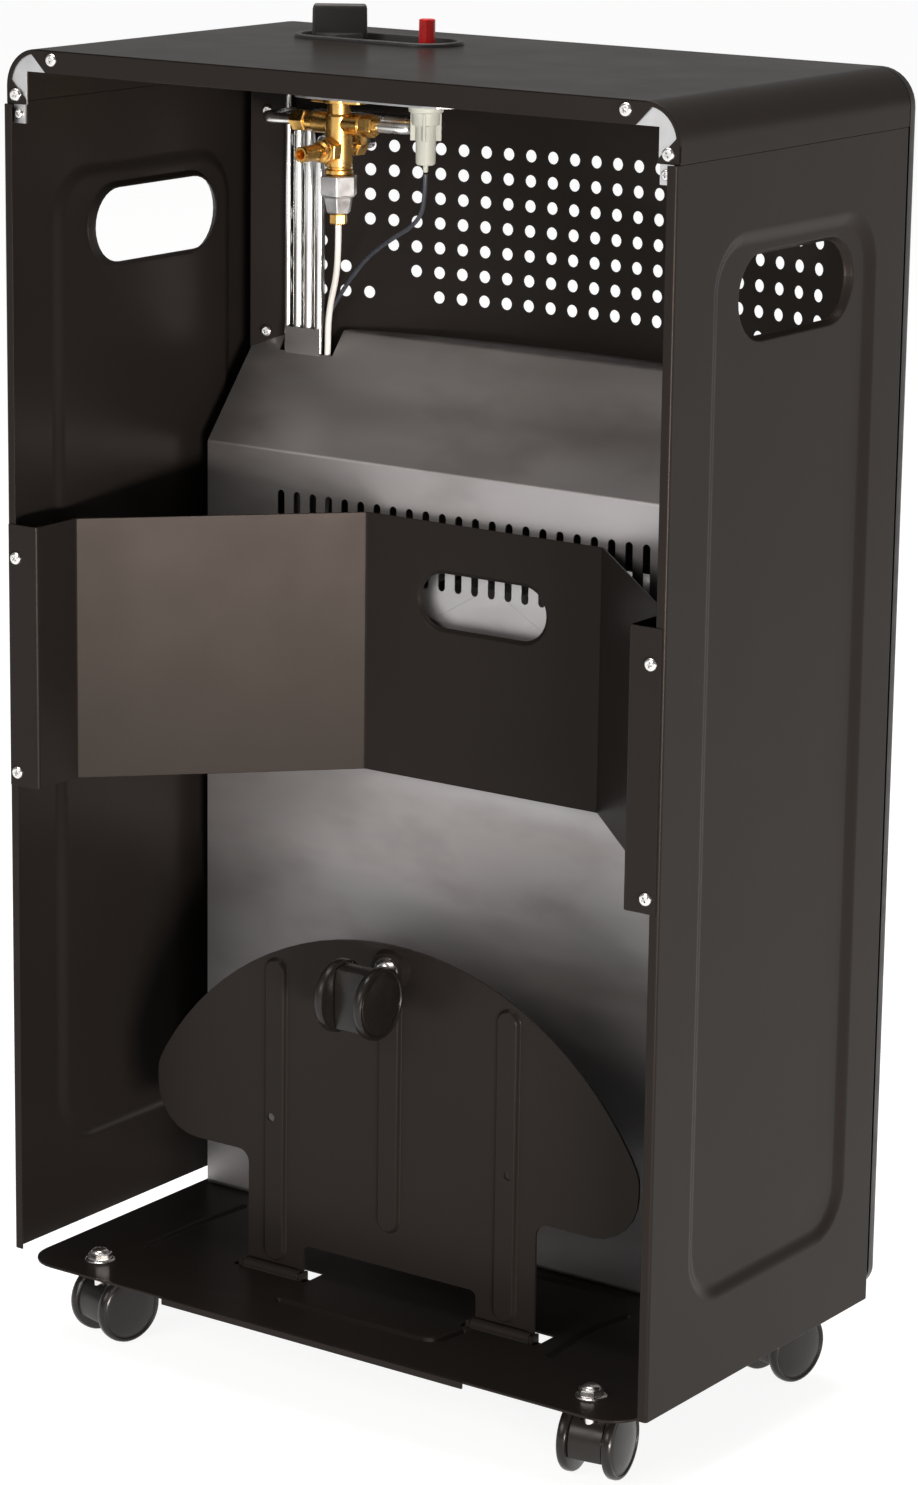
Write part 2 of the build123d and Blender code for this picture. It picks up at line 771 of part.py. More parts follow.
def tray_hinge(side):
    """One leg's hinge: a pin riveted between two lugs, with feet under the base plate."""
    inner, outer = side * (leg_inner_x - leg_gap), side * (leg_outer_x + leg_gap)
    hinge = rod(hinge_pin_radius, (inner, hinge_y, hinge_z), (outer, hinge_y, hinge_z))
    for start, way in ((inner, -side), (outer, side)):
        x_low, x_high = sorted((start, start + way * lug_sheet))
        hinge += block(
            x_low, x_high, hinge_y - lug_half, hinge_y + lug_half, base_low - lug_sheet,
            hinge_z + lug_rise,
        )
        x_low, x_high = sorted((start, start + way * (slot_side_gap + lug_foot)))
        hinge += block(x_low, x_high, hinge_y - lug_half, hinge_y + lug_half, base_low - lug_sheet, base_low)
    return hinge


save("bottle_tray", bottle_tray())
save("tray_hinges", tray_hinge(-1), tray_hinge(1))


# ---------------------------------------------------------------- casters
# Each is drawn with its seat at the origin, hanging down -Z and trailing toward -Y.
axle_y = -caster_trail
axle_z = wheel_radius - caster_height
pin_low = axle_z - 1.0


def caster_stem(plate_thickness):
    stem = rod(stem_pin_radius, (0, 0, pin_low), (0, 0, -1.5))
    stem += prism(stem_collar_radius, (0, 0, -1.5), (0, 0, 0))
    return stem + prism(stem_radius, (0, 0, 0), (0, 0, plate_thickness + nut_height + 1))


def caster_nut(plate_thickness):
    low, high = (0, 0, plate_thickness), (0, 0, plate_thickness + nut_height)
    return prism(nut_radius, low, high) - prism(stem_radius, low, high)


def caster_hood():
    """The web between the two wheels: a round, cut off below, bored for its stem and axle."""
    half = hood_width / 2
    hood = prism(hood_radius, (-half, axle_y, axle_z), (half, axle_y, axle_z), wheel_sides)
    hood -= block(
        -half - 1, half + 1, axle_y - 30, axle_y + 30, axle_z - 30, axle_z - hood_drop
    )
    hood -= bore(stem_pin_radius + running, (0, 0, pin_low - 0.5), (0, 0, 0))
    return hood - bore(axle_radius + running, (-half - 1, axle_y, axle_z), (half + 1, axle_y, axle_z))


def caster_wheels():
    """Two wheels pressed on one axle."""
    inner = hood_width / 2 + wheel_gap
    wheels = rod(axle_radius, (-inner - 1, axle_y, axle_z), (inner + 1, axle_y, axle_z))
    for side in (-1, 1):
        wheels += prism(
            wheel_radius, (side * inner, axle_y, axle_z), (side * (inner + wheel_width), axle_y, axle_z),
            wheel_sides,
        )
    return wheels


stems, nuts = [], []
for name, place in caster_places.items():
    thickness = tray_sheet if name == "tray" else base_sheet
    save(f"{name}_caster_hood", place * caster_hood())
    save(f"{name}_caster_wheels", place * caster_wheels())
    if name == "tray":
        save("tray_caster_stem", place * caster_stem(thickness))
        save("tray_caster_nut", place * caster_nut(thickness))
    else:
        stems.append(place * caster_stem(thickness))
        nuts.append(place * caster_nut(thickness))
save("caster_stems", *stems)
save("caster_nuts", *nuts)


# ---------------------------------------------------------------- console, knob and button
console_floor = top_z - console_floor_depth
control_plate_top = top_z - control_plate_drop
control_plate_low = control_plate_top - control_plate_sheet
axis_y = depth(control_y)
valve_flange_low = control_plate_low - 3.0
valve_low = height(593)
spindle_low = height(600)
push_pin_low = height(585)
push_pin_radius = 2.0


def console_bezel():
    """A dished moulding in the cover's opening, with its rim on the cover and two holes in its floor."""
    bezel = console_outline(0, top_z, top_z + console_wall)
    bezel += console_outline(-console_wall, console_floor - console_wall, top_z)
    bezel -= console_outline(-console_rim, console_floor, top_z + console_wall + 1)
    low, high = console_floor - console_wall - 1, console_floor + 1
    bezel -= prism(spindle_radius + 2, (knob_x, axis_y, low), (knob_x, axis_y, high))
    return bezel - bore(button_radius + running, (button_x, axis_y, low), (button_x, axis_y, high))


def control_knob():
    """A round skirt with a bar grip, blind-bored for the spindle; it stands turned as photographed."""
    low, grip_low = console_floor + knob_travel + 0.5, top_z + knob_skirt
    knob = prism(knob_radius, (knob_x, axis_y, low), (knob_x, axis_y, grip_low), wheel_sides)
    grip = plane_z(knob_x, axis_y, grip_low) * Rot(0, 0, knob_turn) * Rectangle(knob_grip, knob_grip_width)
    knob += extrude(grip, knob_height - knob_skirt)
    return knob - rod(spindle_radius, (knob_x, axis_y, low - 1), (knob_x, axis_y, top_z + 5))


def igniter_button():
    low = console_floor - console_wall - button_travel - 1
    return rod(button_radius, (button_x, axis_y, low), (button_x, axis_y, top_z + button_height))


def control_plate():
    """The plate that carries valve and igniter, hung from the cover by two strips."""
    middle_x = (knob_x + button_x) / 2
    outline = stadium(112, 36)
    plate = extrude(plane_z(middle_x, axis_y, control_plate_low) * outline, control_plate_sheet)
    under_cover = top_z - sheet
    for side in (-1, 1):
        x_low, x_high = sorted((middle_x + side * 54.5, middle_x + side * (54.5 + control_plate_sheet)))
        plate += block(x_low, x_high, axis_y - 6, axis_y + 6, control_plate_low, under_cover)
        x_low, x_high = sorted((middle_x + side * 54.5, middle_x + side * 64))
        plate += block(
            x_low, x_high, axis_y - 6, axis_y + 6, under_cover - control_plate_sheet, under_cover
        )
    for x, radius in ((knob_x, spindle_radius + 1.5), (button_x, plunger_radius + 1.5)):
        plate -= prism(radius, (x, axis_y, control_plate_low - 1), (x, axis_y, control_plate_top + 1))
    return plate


save("console_bezel", console_bezel())
save("control_knob", control_knob())
save("valve_spindle", rod(spindle_radius, (knob_x, axis_y, spindle_low), (knob_x, axis_y, top_z + 5)))
save("valve_push_pin", rod(push_pin_radius, (knob_x, axis_y, push_pin_low), (knob_x, axis_y, spindle_low)))
save("igniter_button", igniter_button())
save("control_plate", control_plate())


# ---------------------------------------------------------------- gas valve, its nuts and nozzle
cap_low = height(572)
left_nut_x = knob_x + 26
right_nut_x = knob_x - 21
outlet_z = height(621)
front_outlet_z = height(608)
nozzle_z = height(607)
nozzle_radius = 4.5
nozzle_length = 22.0
nut_across = 6.5            # axis to corner of the pipe nuts
nut_length = 11.0


def gas_valve():
    """Brass body: barrel, cross arm with two outlets, one outlet to the front, flange on top."""
    axis = (knob_x, axis_y)
    body = rod(7.8, (*axis, valve_low), (*axis, valve_flange_low))
    body += block(
        knob_x - 17, knob_x + 17, axis_y - 9, axis_y + 9, valve_flange_low, control_plate_low
    )
    body += prism(5.6, (right_nut_x + 5, axis_y, outlet_z), (left_nut_x - 5, axis_y, outlet_z), 8)
    body += prism(5.6, (*axis, front_outlet_z), (knob_x, axis_y - 11, front_outlet_z), 8)
    body += prism(7.4, (*axis, nozzle_z), (knob_x, axis_y + 13, nozzle_z))
    body -= bore(spindle_radius + running, (*axis, spindle_low - knob_travel - 0.5), (*axis, top_z))
    body -= bore(push_pin_radius + running, (*axis, valve_low - 1), (*axis, spindle_low))
    return body


def hose_nozzle():
    """Ridged hose nozzle with an open bore, on the valve's inlet."""
    start, end = axis_y + 13, axis_y + 13 + nozzle_length
    nozzle = extrude(plane_y(knob_x, start, nozzle_z) * Circle(nozzle_radius), nozzle_length)
    return nozzle - prism(2.5, (knob_x, start + 4, nozzle_z), (knob_x, end + 1, nozzle_z))


def magnet_cap():
    """The hexagonal cap under the valve, hollow for the push pin."""
    cap = prism(11, (knob_x, axis_y, cap_low + 9), (knob_x, axis_y, valve_low))
    cap += prism(8, (knob_x, axis_y, cap_low), (knob_x, axis_y, cap_low + 9))
    room = prism(push_pin_radius + 1, (knob_x, axis_y, push_pin_low - knob_travel - 1), (knob_x, axis_y, valve_low))
    return cap - room


def pipe_nuts():
    return [
        prism(nut_across, (left_nut_x - 5, axis_y, outlet_z), (left_nut_x + 6, axis_y, outlet_z)),
        prism(nut_across, (right_nut_x + 5, axis_y, outlet_z), (right_nut_x - 6, axis_y, outlet_z)),
        prism(
            nut_across, (knob_x, axis_y - 11, front_outlet_z),
            (knob_x, axis_y - 11 - nut_length, front_outlet_z),
        ),
    ]


save("gas_valve", gas_valve())
save("hose_nozzle", hose_nozzle())
save("magnet_cap", magnet_cap())
save("thermocouple_nut", prism(5, (knob_x, axis_y, height(566)), (knob_x, axis_y, cap_low)))
save("pipe_nuts", *pipe_nuts())


# ---------------------------------------------------------------- burners, plaques and reflector pan
plaque_front = depth(plaque_y)
burner_wall = 1.5
burner_high = burner_low + plaque_height
venturi_low = 185.0
pan_sheet = 0.8
burner_places = {"left": -burner_pitch, "centre": 0.0, "right": burner_pitch}


def plaque(x, grow, y_low, y_high):
    return block(
        x - plaque_width / 2 - grow, x + plaque_width / 2 + grow, y_low, y_high,
        height(burner_low) - grow, height(burner_high) + grow,
    )


def burner(x):
    """A pressed box behind the plaque, with its mixing tube down to the injector."""
    box = plaque(x, burner_wall, plaque_front, plaque_front + burner_depth)
    box -= plaque(x, 0, plaque_front - 1, plaque_front + burner_depth - burner_wall)
    box += plaque(x, 0, plaque_front + plaque_thickness, plaque_front + plaque_thickness + 1) - plaque(
        x, -3, plaque_front, plaque_front + burner_depth
    )
    y = depth(holder_y)
    box += prism(9, (x, y, height(venturi_low)), (x, y, height(burner_low) - burner_wall / 2), 8)
    return box - prism(7.5, (x, y, 0), (x, y, height(burner_low) + 1), 8)


def reflector():
    """The pan round the plaques: a plate with their openings, and walls forward to the front sheet."""
    pan = block(
        -pan_half_width, pan_half_width, fascia_y, plaque_front, height(pan_low), height(pan_high)
    )
    inside = pan_half_width - pan_sheet
    pan -= block(
        -inside, inside, fascia_y - 1, plaque_front - pan_sheet,
        height(pan_low) + pan_sheet, height(pan_high) - pan_sheet,
    )
    for x in burner_places.values():
        pan -= plaque(x, -2, fascia_y, rear_y)
    pan -= block(
        pilot_notch_low, pilot_notch_high, fascia_y, plaque_front - pan_sheet,
        height(pan_low) - 1, height(pan_low) + 1,
    )
    return pan & behind_bow(0, 0, 2 * top_z)


for name, x in burner_places.items():
    save(f"{name}_burner", burner(x))
save("ceramic_plaques", *[
    plaque(x, 0, plaque_front, plaque_front + plaque_thickness) for x in burner_places.values()
])
save("reflector", reflector())


# ---------------------------------------------------------------- injectors, rail, pilot and electrode
rail_sheet = 1.2
injector_y = depth(holder_y)


def injector_rail():
    """A bent strip on the shield's front: an upright flange and a shelf with three pipe holes."""
    shelf_high = height(holder_low)
    rail = block(-112, 112, shield_front - rail_sheet, shield_front, shelf_high - 14, shelf_high)
    rail += block(-112, 112, depth(holder_y + 9), shield_front, shelf_high - rail_sheet, shelf_high)
    for x in burner_places.values():
        rail -= prism(pipe_radius + 1, (x, injector_y, 0), (x, injector_y, shelf_high + 1))
    return rail


def injector(x):
    start, end = height(holder_low), height(holder_low + 13)
    return prism(8, (x, injector_y, start), (x, injector_y, end)) + prism(
        4, (x, injector_y, end), (x, injector_y, end + 5)
    )


save("injector_rail", injector_rail())
save("injectors", *[injector(x) for x in burner_places.values()])


# ---------------------------------------------------------------- pilot burner and electrode
electrode_low = pilot_low - 2
pilot_jet_radius = 3.0


def pilot_bracket():
    """A small plate under the pan that carries pilot burner, electrode and heat sensor."""
    low, high = height(pan_low) - 1, height(pan_low)
    plate = block(
        pilot_notch_low - 4, pilot_notch_high + 4, depth(pilot_y + 6), depth(pilot_y - 6), low, high
    )
    for x in (pilot_x, electrode_x, sensor_x):
        plate -= prism(pilot_jet_radius, (x, depth(pilot_y), low - 1), (x, depth(pilot_y), high + 1))
    return plate


def pilot_burner():
    y, seat = depth(pilot_y), height(pan_low) - 1
    return prism(5, (pilot_x, y, height(pilot_low)), (pilot_x, y, seat)) + prism(
        pilot_jet_radius, (pilot_x, y, seat), (pilot_x, y, seat + 12)
    )


def ignition_electrode():
    y, top = depth(pilot_y), height(pan_low) + 6
    return prism(pilot_jet_radius, (electrode_x, y, height(electrode_low)), (electrode_x, y, top)) + prism(
        0.8, (electrode_x, y, top), (electrode_x, y, top + 10)
    )


save("pilot_bracket", pilot_bracket())
save("pilot_burner", pilot_burner())
save("ignition_electrode", ignition_electrode())


# ---------------------------------------------------------------- gas pipes and leads
def placed(points):
    """Route points from across, depth and height above the side panels' lower edge."""
    return [(x, depth(y), height(z)) for x, y, z in points]


def burner_pipe(start, column, level, x):
    """From a valve outlet over to its upright column, down, along and up to a burner's injector."""
    column_x = pipe_column_x + column * pipe_column_pitch
    route = [
        *start, (column_x, pipe_column_y, start[-1][2]), (column_x, pipe_column_y, level),
        (x, pipe_column_y, level), (x, holder_y, level), (x, holder_y, holder_low),
    ]
    return angled_prism(pipe_radius, placed(route), pipe_bend)


front_nut_end = control_y + 11 + nut_length
pilot_column_x = pipe_column_x + 3 * pipe_column_pitch
save("right_burner_pipe", burner_pipe(
    [(knob_x, front_nut_end, 608), (knob_x, pipe_column_y, 608)], 0, 150, burner_pitch
))
save("centre_burner_pipe", burner_pipe(
    [(right_nut_x - 6, control_y, 621), (knob_x - 46, control_y, 621), (knob_x - 46, pipe_column_y, 621)],
    1, 140, 0,
))
save("left_burner_pipe", burner_pipe(
    [(left_nut_x + 6, control_y, 621), (pipe_column_x + 2 * pipe_column_pitch, control_y, 621)],
    2, 130, -burner_pitch,
))
save("pilot_pipe", angled_prism(pilot_pipe_radius, placed([
    (knob_x + 9, control_y + 9, 633), (knob_x + 9, pipe_column_y, 633), (pilot_column_x, pipe_column_y, 633),
    (pilot_column_x, pipe_column_y, 120), (pilot_x, pipe_column_y, 120), (pilot_x, pilot_y, 120),
    (pilot_x, pilot_y, pilot_low),
]), 4.5))
save("thermocouple_lead", bent_prism(lead_radius + 0.3, placed([
    (knob_x, control_y, 566), (knob_x, control_y, 556), (124, 180, 535), (142.2, 197.2, 512),
    (143, 197.2, 490), (143, 197.2, 225), (138, 203, 202), (75, 208, 190), (sensor_x, pilot_y, 199),
    (sensor_x, pilot_y, 232),
]), 4))
save("ignition_lead", bent_prism(lead_radius, placed([
    (button_x, control_y, 598), (button_x, control_y, 588), (62, 172, 571), (92, 182, 556),
    (120, 196, 540), (146, 205.3, 512), (154, 204.8, 496), (154, 204.6, 470), (154, 204.6, 226),
    (149, 207, 205), (62, 216, 188), (36, 215, 189), (electrode_x, pilot_y, 197), (electrode_x, pilot_y, electrode_low),
]), 3))


# ---------------------------------------------------------------- push-button igniter
def igniter():
    """A stepped body under the control plate, with a blind bore for the button's plunger."""
    axis = (button_x, axis_y)
    body = prism(10, (*axis, height(625)), (*axis, control_plate_low), 12)
    body += prism(5.5, (*axis, height(603)), (*axis, height(625)), 12)
    body += prism(1.5, (*axis, height(598)), (*axis, height(603)))
    return body - bore(plunger_radius + running, (*axis, height(614)), (*axis, control_plate_top))


save("igniter", igniter())
save("igniter_plunger", rod(
    plunger_radius, (button_x, axis_y, height(621)),
    (button_x, axis_y, console_floor - console_wall - button_travel - 1),
))


# ---------------------------------------------------------------- wire guard behind the window
def wire_guard():
    """Upright wires in the pan's mouth, on two flat strips that follow the bow."""
    low, high = height(pan_low) + pan_sheet, height(pan_high) - pan_sheet
    bands = behind_bow(-2 * wire_radius + 0.3, low, high) - behind_bow(-2 * wire_radius - 1, 0, 2 * top_z)
    guard = Part()
    inside = pan_half_width - pan_sheet
    for z_low, z_high in ((low, height(window_low)), (height(window_low + window_height), high)):
        guard += bands & block(-inside, inside, fascia_y, rear_y, z_low, z_high)
    for i in range(11):
        x = (i - 5) * wire_pitch
        y = bow_y(x) + wire_radius * 1.02
        guard += prism(wire_radius, (x, y, low), (x, y, high))
    return guard


save("wire_guard", wire_guard())
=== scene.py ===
import json
from math import acos, asin, atan2, copysign, cos, dist, hypot, pi, radians, sin, sqrt, tan

import bmesh
import bpy
from mathutils import Matrix, Vector
from mathutils.geometry import delaunay_2d_cdt


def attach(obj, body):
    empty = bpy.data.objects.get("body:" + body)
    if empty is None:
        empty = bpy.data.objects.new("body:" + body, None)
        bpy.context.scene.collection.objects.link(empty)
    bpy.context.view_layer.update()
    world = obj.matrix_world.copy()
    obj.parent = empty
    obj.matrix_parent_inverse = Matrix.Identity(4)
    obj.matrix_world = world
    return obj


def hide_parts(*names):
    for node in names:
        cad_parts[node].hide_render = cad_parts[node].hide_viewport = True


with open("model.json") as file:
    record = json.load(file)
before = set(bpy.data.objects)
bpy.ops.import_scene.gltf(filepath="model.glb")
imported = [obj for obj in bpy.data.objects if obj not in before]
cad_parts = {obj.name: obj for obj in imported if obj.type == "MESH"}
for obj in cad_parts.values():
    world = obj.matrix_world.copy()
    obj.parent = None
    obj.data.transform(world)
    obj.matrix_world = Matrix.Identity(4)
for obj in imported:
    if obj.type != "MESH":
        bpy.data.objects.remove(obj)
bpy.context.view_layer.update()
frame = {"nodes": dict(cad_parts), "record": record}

# Lengths here are millimetres, as in the CAD source; MM turns them into Blender's metres.
MM = 0.001
REAR_Y, PANEL_DEPTH = 112.25, 222.0
PANEL_LOW, PANEL_TOP, TOP_Z = 49.0, 687.0, 716.5
HALF_WIDTH = 210.0
FRONT_Y = REAR_Y - PANEL_DEPTH
SHEET, PLATE = 1.0, 1.5
BASE_TOP, BASE_LOW = 46.5, 45.0
COVER_REAR = REAR_Y - 3.0
UP = Vector((0, 0, 1))
PLAIN = (1, 1, 1)           # a noise that isn't stretched


def depth(distance):
    """Y of a point this far in front of the side panels' rear edge."""
    return REAR_Y - distance


def height(level):
    """Z of a point this far above the side panels' lower edge."""
    return PANEL_LOW + level


def placed(points):
    """Points given by X, the distance in front of the rear edge, and the height on the panel."""
    return [(x, depth(y), height(z)) for x, y, z in points]


def polar(middle, radius, angle):
    return middle[0] + radius * cos(angle), middle[1] + radius * sin(angle)


def arc(middle, radius, start, turn, steps):
    """Points of an arc that starts at one angle and turns by another, in radians."""
    return [polar(middle, radius, start + turn * i / steps) for i in range(steps + 1)]


def rectangle(x_low, x_high, z_low, z_high):
    return [(x_low, z_low), (x_high, z_low), (x_high, z_high), (x_low, z_high)]


def spun(place, degrees, axis="Z"):
    """A place with a turn about one of its axes."""
    return Matrix.Translation(place) @ Matrix.Rotation(radians(degrees), 4, axis)


def linked(name, data):
    """A new object in the scene."""
    made = bpy.data.objects.new(name, data)
    bpy.context.scene.collection.objects.link(made)
    return made


# ---- camera
def make_camera():
    """The photograph's viewpoint, found from the cabinet's own corners and lines."""
    data = bpy.data.cameras.new("camera")
    camera = linked("camera", data)
    azimuth, elevation, roll = radians(215.703), radians(13.642), radians(0.61)
    back = Vector((sin(azimuth) * cos(elevation), -cos(azimuth) * cos(elevation), sin(elevation)))
    turned = (-back).to_track_quat("-Z", "Y").to_matrix().to_4x4() @ Matrix.Rotation(roll, 4, "Z")
    camera.matrix_world = Matrix.Translation((-1.3645, 1.9369, 0.9451)) @ turned
    data.sensor_width = 36.0
    data.lens = 110.21
    data.shift_x, data.shift_y = 0.03797, -0.024
    data.clip_start, data.clip_end = 0.05, 50
    bpy.context.scene.camera = camera


make_camera()


# ---- materials
def set_range(node, limits):
    for socket, number in zip(("From Min", "From Max", "To Min", "To Max"), limits):
        node.inputs[socket].default_value = number


class Finish:
    """A Principled material whose colour, roughness and bump come from noise in object space."""

    def __init__(self, name, color, roughness, metallic=0.0, specular=0.5):
        self.material = bpy.data.materials.new(name)
        self.material.use_nodes = True
        self.nodes = self.material.node_tree.nodes
        self.links = self.material.node_tree.links
        self.shader = self.nodes["Principled BSDF"]
        self.color = color
        for socket, value in (
            ("Base Color", (*color, 1)), ("Roughness", roughness), ("Metallic", metallic),
            ("Specular IOR Level", specular),
        ):
            self.shader.inputs[socket].default_value = value
        self.place = self.add("ShaderNodeTexCoord").outputs["Object"]

    def add(self, kind, **values):
        node = self.nodes.new(kind)
        for key, value in values.items():
            setattr(node, key, value)
        return node

    def noise(self, scale, stretch, detail):
        mapping = self.add("ShaderNodeMapping")
        mapping.inputs["Scale"].default_value = stretch
        self.links.new(self.place, mapping.inputs["Vector"])
        noise = self.add("ShaderNodeTexNoise")
        noise.inputs["Scale"].default_value = scale
        noise.inputs["Detail"].default_value = detail
        self.links.new(mapping.outputs["Vector"], noise.inputs["Vector"])
        return noise.outputs["Fac"]

    def ramp(self, value, *limits):
        """Map value from the first two limits to the last two."""
        node = self.add("ShaderNodeMapRange")
        set_range(node, limits)
        self.links.new(value, node.inputs["Value"])
        return node.outputs["Result"]

    def stain(self, color, low, high, most, *noise):
        """Blend toward a colour where a noise lies above low, up to most where it passes high."""
        self.tint(self.ramp(self.noise(*noise), low, high, 0, most), color)

    def tint(self, fac, color):
        """Blend the colour toward another one where fac is high."""
        mix = self.add("ShaderNodeMix", data_type="RGBA")
        old = self.shader.inputs["Base Color"]
        if old.links:
            self.links.new(old.links[0].from_socket, mix.inputs["A"])
        else:
            mix.inputs["A"].default_value = (*self.color, 1)
        mix.inputs["B"].default_value = (*color, 1)
        self.links.new(fac, mix.inputs["Factor"])
        self.links.new(mix.outputs["Result"], old)

    def rough(self, fac, low, high):
        self.links.new(self.ramp(fac, 0.3, 0.7, low, high), self.shader.inputs["Roughness"])

    def bump(self, value, strength, distance):
        bump = self.add("ShaderNodeBump")
        bump.inputs["Strength"].default_value = strength
        bump.inputs["Distance"].default_value = distance * MM
        self.links.new(value, bump.inputs["Height"])
        old = self.shader.inputs["Normal"]
        if old.links:
            self.links.new(old.links[0].from_socket, bump.inputs["Normal"])
        self.links.new(bump.outputs["Normal"], old)
        return self


def powder_coat(name, color, dust, roughness=0.31):
    """Satin powder coat: faint orange peel, uneven gloss and a little dust."""
    finish = Finish(name, color, roughness, specular=0.085)
    finish.shader.inputs["Specular Tint"].default_value = (1, 0.88, 0.8, 1)
    finish.stain(dust, 0.4, 0.75, 0.15, 9, PLAIN, 4)
    finish.stain(dust, 0.72, 0.8, 0.3, 520, PLAIN, 1)
    finish.rough(finish.noise(26, PLAIN, 4), roughness - 0.015, roughness + 0.025)
    finish.bump(finish.noise(700, PLAIN, 2), 0.12, 0.12)
    return finish.bump(finish.noise(14, PLAIN, 1), 0.08, 1.5).material


def moulded(name, color, roughness, grain=0.25, lighter=1.5):
    """Moulded plastic: fine grain, flow marks and slight wear."""
    finish = Finish(name, color, roughness, specular=0.3)
    worn = tuple(min(1.0, c * lighter + 0.004) for c in color)
    finish.stain(worn, 0.5, 0.8, 0.4, 45, PLAIN, 5)
    finish.rough(finish.noise(90, PLAIN, 3), roughness - 0.06, roughness + 0.08)
    return finish.bump(finish.noise(2400, PLAIN, 1), grain, 0.05).material


def plated(name, color, roughness, stain, stretch=PLAIN):
    """Plated or bare metal with faint stains and drawing marks."""
    finish = Finish(name, color, roughness, metallic=1.0)
    finish.stain(stain, 0.45, 0.75, 0.6, 60, PLAIN, 4)
    finish.rough(finish.noise(160, stretch, 3), roughness - 0.06, roughness + 0.1)
    return finish.bump(finish.noise(480, stretch, 2), 0.15, 0.05).material


def galvanised(name):
    """Galvanised sheet: long soft rolling marks along X, waviness and cloudy spangle."""
    finish = Finish(name, (0.4, 0.38, 0.375), 0.5, metallic=1.0)
    finish.stain((0.52, 0.52, 0.54), 0.35, 0.7, 0.8, 9, (0.3, 1, 1.6), 3)
    finish.stain((0.27, 0.25, 0.245), 0.5, 0.75, 0.6, 26, (0.5, 1, 1), 3)
    finish.rough(finish.noise(16, (0.25, 1, 1.2), 4), 0.42, 0.6)
    finish.bump(finish.noise(6, (0.5, 1, 1.3), 2), 0.35, 3.0)
    return finish.bump(finish.noise(900, (0.05, 1, 1), 1), 0.08, 0.05).material


def plaque_ceramic(name):
    """Burner plaque: fired clay, with its regular field of small flame ports painted as dark dots
    of painted shade and bumped in.
    """
    finish = Finish(name, (0.72, 0.66, 0.56), 0.85)
    ports = finish.add("ShaderNodeTexVoronoi")
    ports.inputs["Scale"].default_value = 420
    ports.inputs["Randomness"].default_value = 0
    finish.links.new(finish.place, ports.inputs["Vector"])
    port_shade = finish.ramp(ports.outputs["Distance"], 0.3, 0.38, 1, 0)
    finish.stain((0.6, 0.52, 0.43), 0.4, 0.7, 0.6, 30, PLAIN, 5)
    # Painted shade: each port's dark dot stands in for the shade inside the hole.
    finish.tint(port_shade, (0.06, 0.05, 0.045))
    return finish.bump(finish.ramp(ports.outputs["Distance"], 0.25, 0.4, 0, 1), 0.6, 0.6).material


def warm(value):
    """A near-black with the paint's faint brown cast."""
    return (value, value * 0.86, value * 0.77)


FINISHES = {
    "black_paint": (powder_coat, warm(0.013), warm(0.024)),
    "sheet_paint": (powder_coat, warm(0.015), warm(0.028), 0.45),
    "bracket_zinc": (plated, (0.55, 0.56, 0.57), 0.42, (0.42, 0.42, 0.43)),
    "fascia_plastic": (moulded, warm(0.014), 0.38),
    "shield_steel": (galvanised,),
    "bright_zinc": (plated, (0.82, 0.81, 0.8), 0.2, (0.6, 0.58, 0.56)),
    "caster_plastic": (moulded, warm(0.011), 0.28, 0.1),
    "wheel_plastic": (moulded, warm(0.009), 0.26, 0.1),
    "console_plastic": (moulded, (0.022, 0.021, 0.021), 0.4),
    "red_plastic": (moulded, (0.52, 0.012, 0.012), 0.25, 0.1, 1.2),
    "igniter_plastic": (moulded, (0.5, 0.52, 0.46), 0.45, 0.15, 1.15),
    "brass": (plated, (0.78, 0.47, 0.14), 0.26, (0.5, 0.27, 0.07)),
    "cap_zinc": (plated, (0.8, 0.8, 0.8), 0.33, (0.62, 0.62, 0.62)),
    "pipe_aluminium": (plated, (0.85, 0.85, 0.84), 0.25, (0.66, 0.65, 0.63), (1, 1, 0.05)),
    "white_sleeve": (moulded, (0.76, 0.75, 0.71), 0.45, 0.1, 1.1),
    "lead_insulation": (moulded, (0.045, 0.05, 0.062), 0.3, 0.1, 1.8),
    "plaque_ceramic": (plaque_ceramic,),
    "burner_steel": (plated, (0.33, 0.32, 0.31), 0.45, (0.2, 0.17, 0.15)),
    "reflector_steel": (plated, (0.72, 0.72, 0.71), 0.2, (0.52, 0.5, 0.47), (0.1, 1, 1)),
    "guard_chrome": (plated, (0.75, 0.75, 0.75), 0.18, (0.5, 0.49, 0.48)),
}
MATERIALS = {name: make(name, *rest) for name, (make, *rest) in FINISHES.items()}
SLOTS = {s["node"]: s["material_slot"] for s in frame["record"]["subparts"]}


# ---- pieces
def add_modifier(piece, kind, **values):
    modifier = piece.modifiers.new(kind.title(), kind)
    for key, value in values.items():
        setattr(modifier, key, value)


def soft_edges(piece, width, segments=2, limit=40):
    """Small rounds on a piece's sharp edges, and normals that keep its flats flat."""
    add_modifier(
        piece, "BEVEL", width=width * MM, segments=segments, limit_method="ANGLE",
        angle_limit=radians(limit), use_clamp_overlap=True, miter_outer="MITER_ARC",
    )
    add_modifier(piece, "WEIGHTED_NORMAL", keep_sharp=True, weight=100)


def finish_piece(name, data, slot, body="cabinet"):
    """A new piece on its body, in its material slot; it stands for the CAD node of its name."""
    piece = linked(name, data)
    data.materials.append(MATERIALS[slot])
    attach(piece, body)
    if name in frame["nodes"]:
        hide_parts(name)
    return piece


def mesh_piece(name, points, faces, slot, body="cabinet", smooth=38):
    mesh = bpy.data.meshes.new(name)
    mesh.from_pydata([Vector(p) * MM for p in points], [], faces)
    mesh.validate()
    mesh.shade_smooth()
    mesh.set_sharp_from_angle(angle=radians(smooth))
    return finish_piece(name, mesh, slot, body)


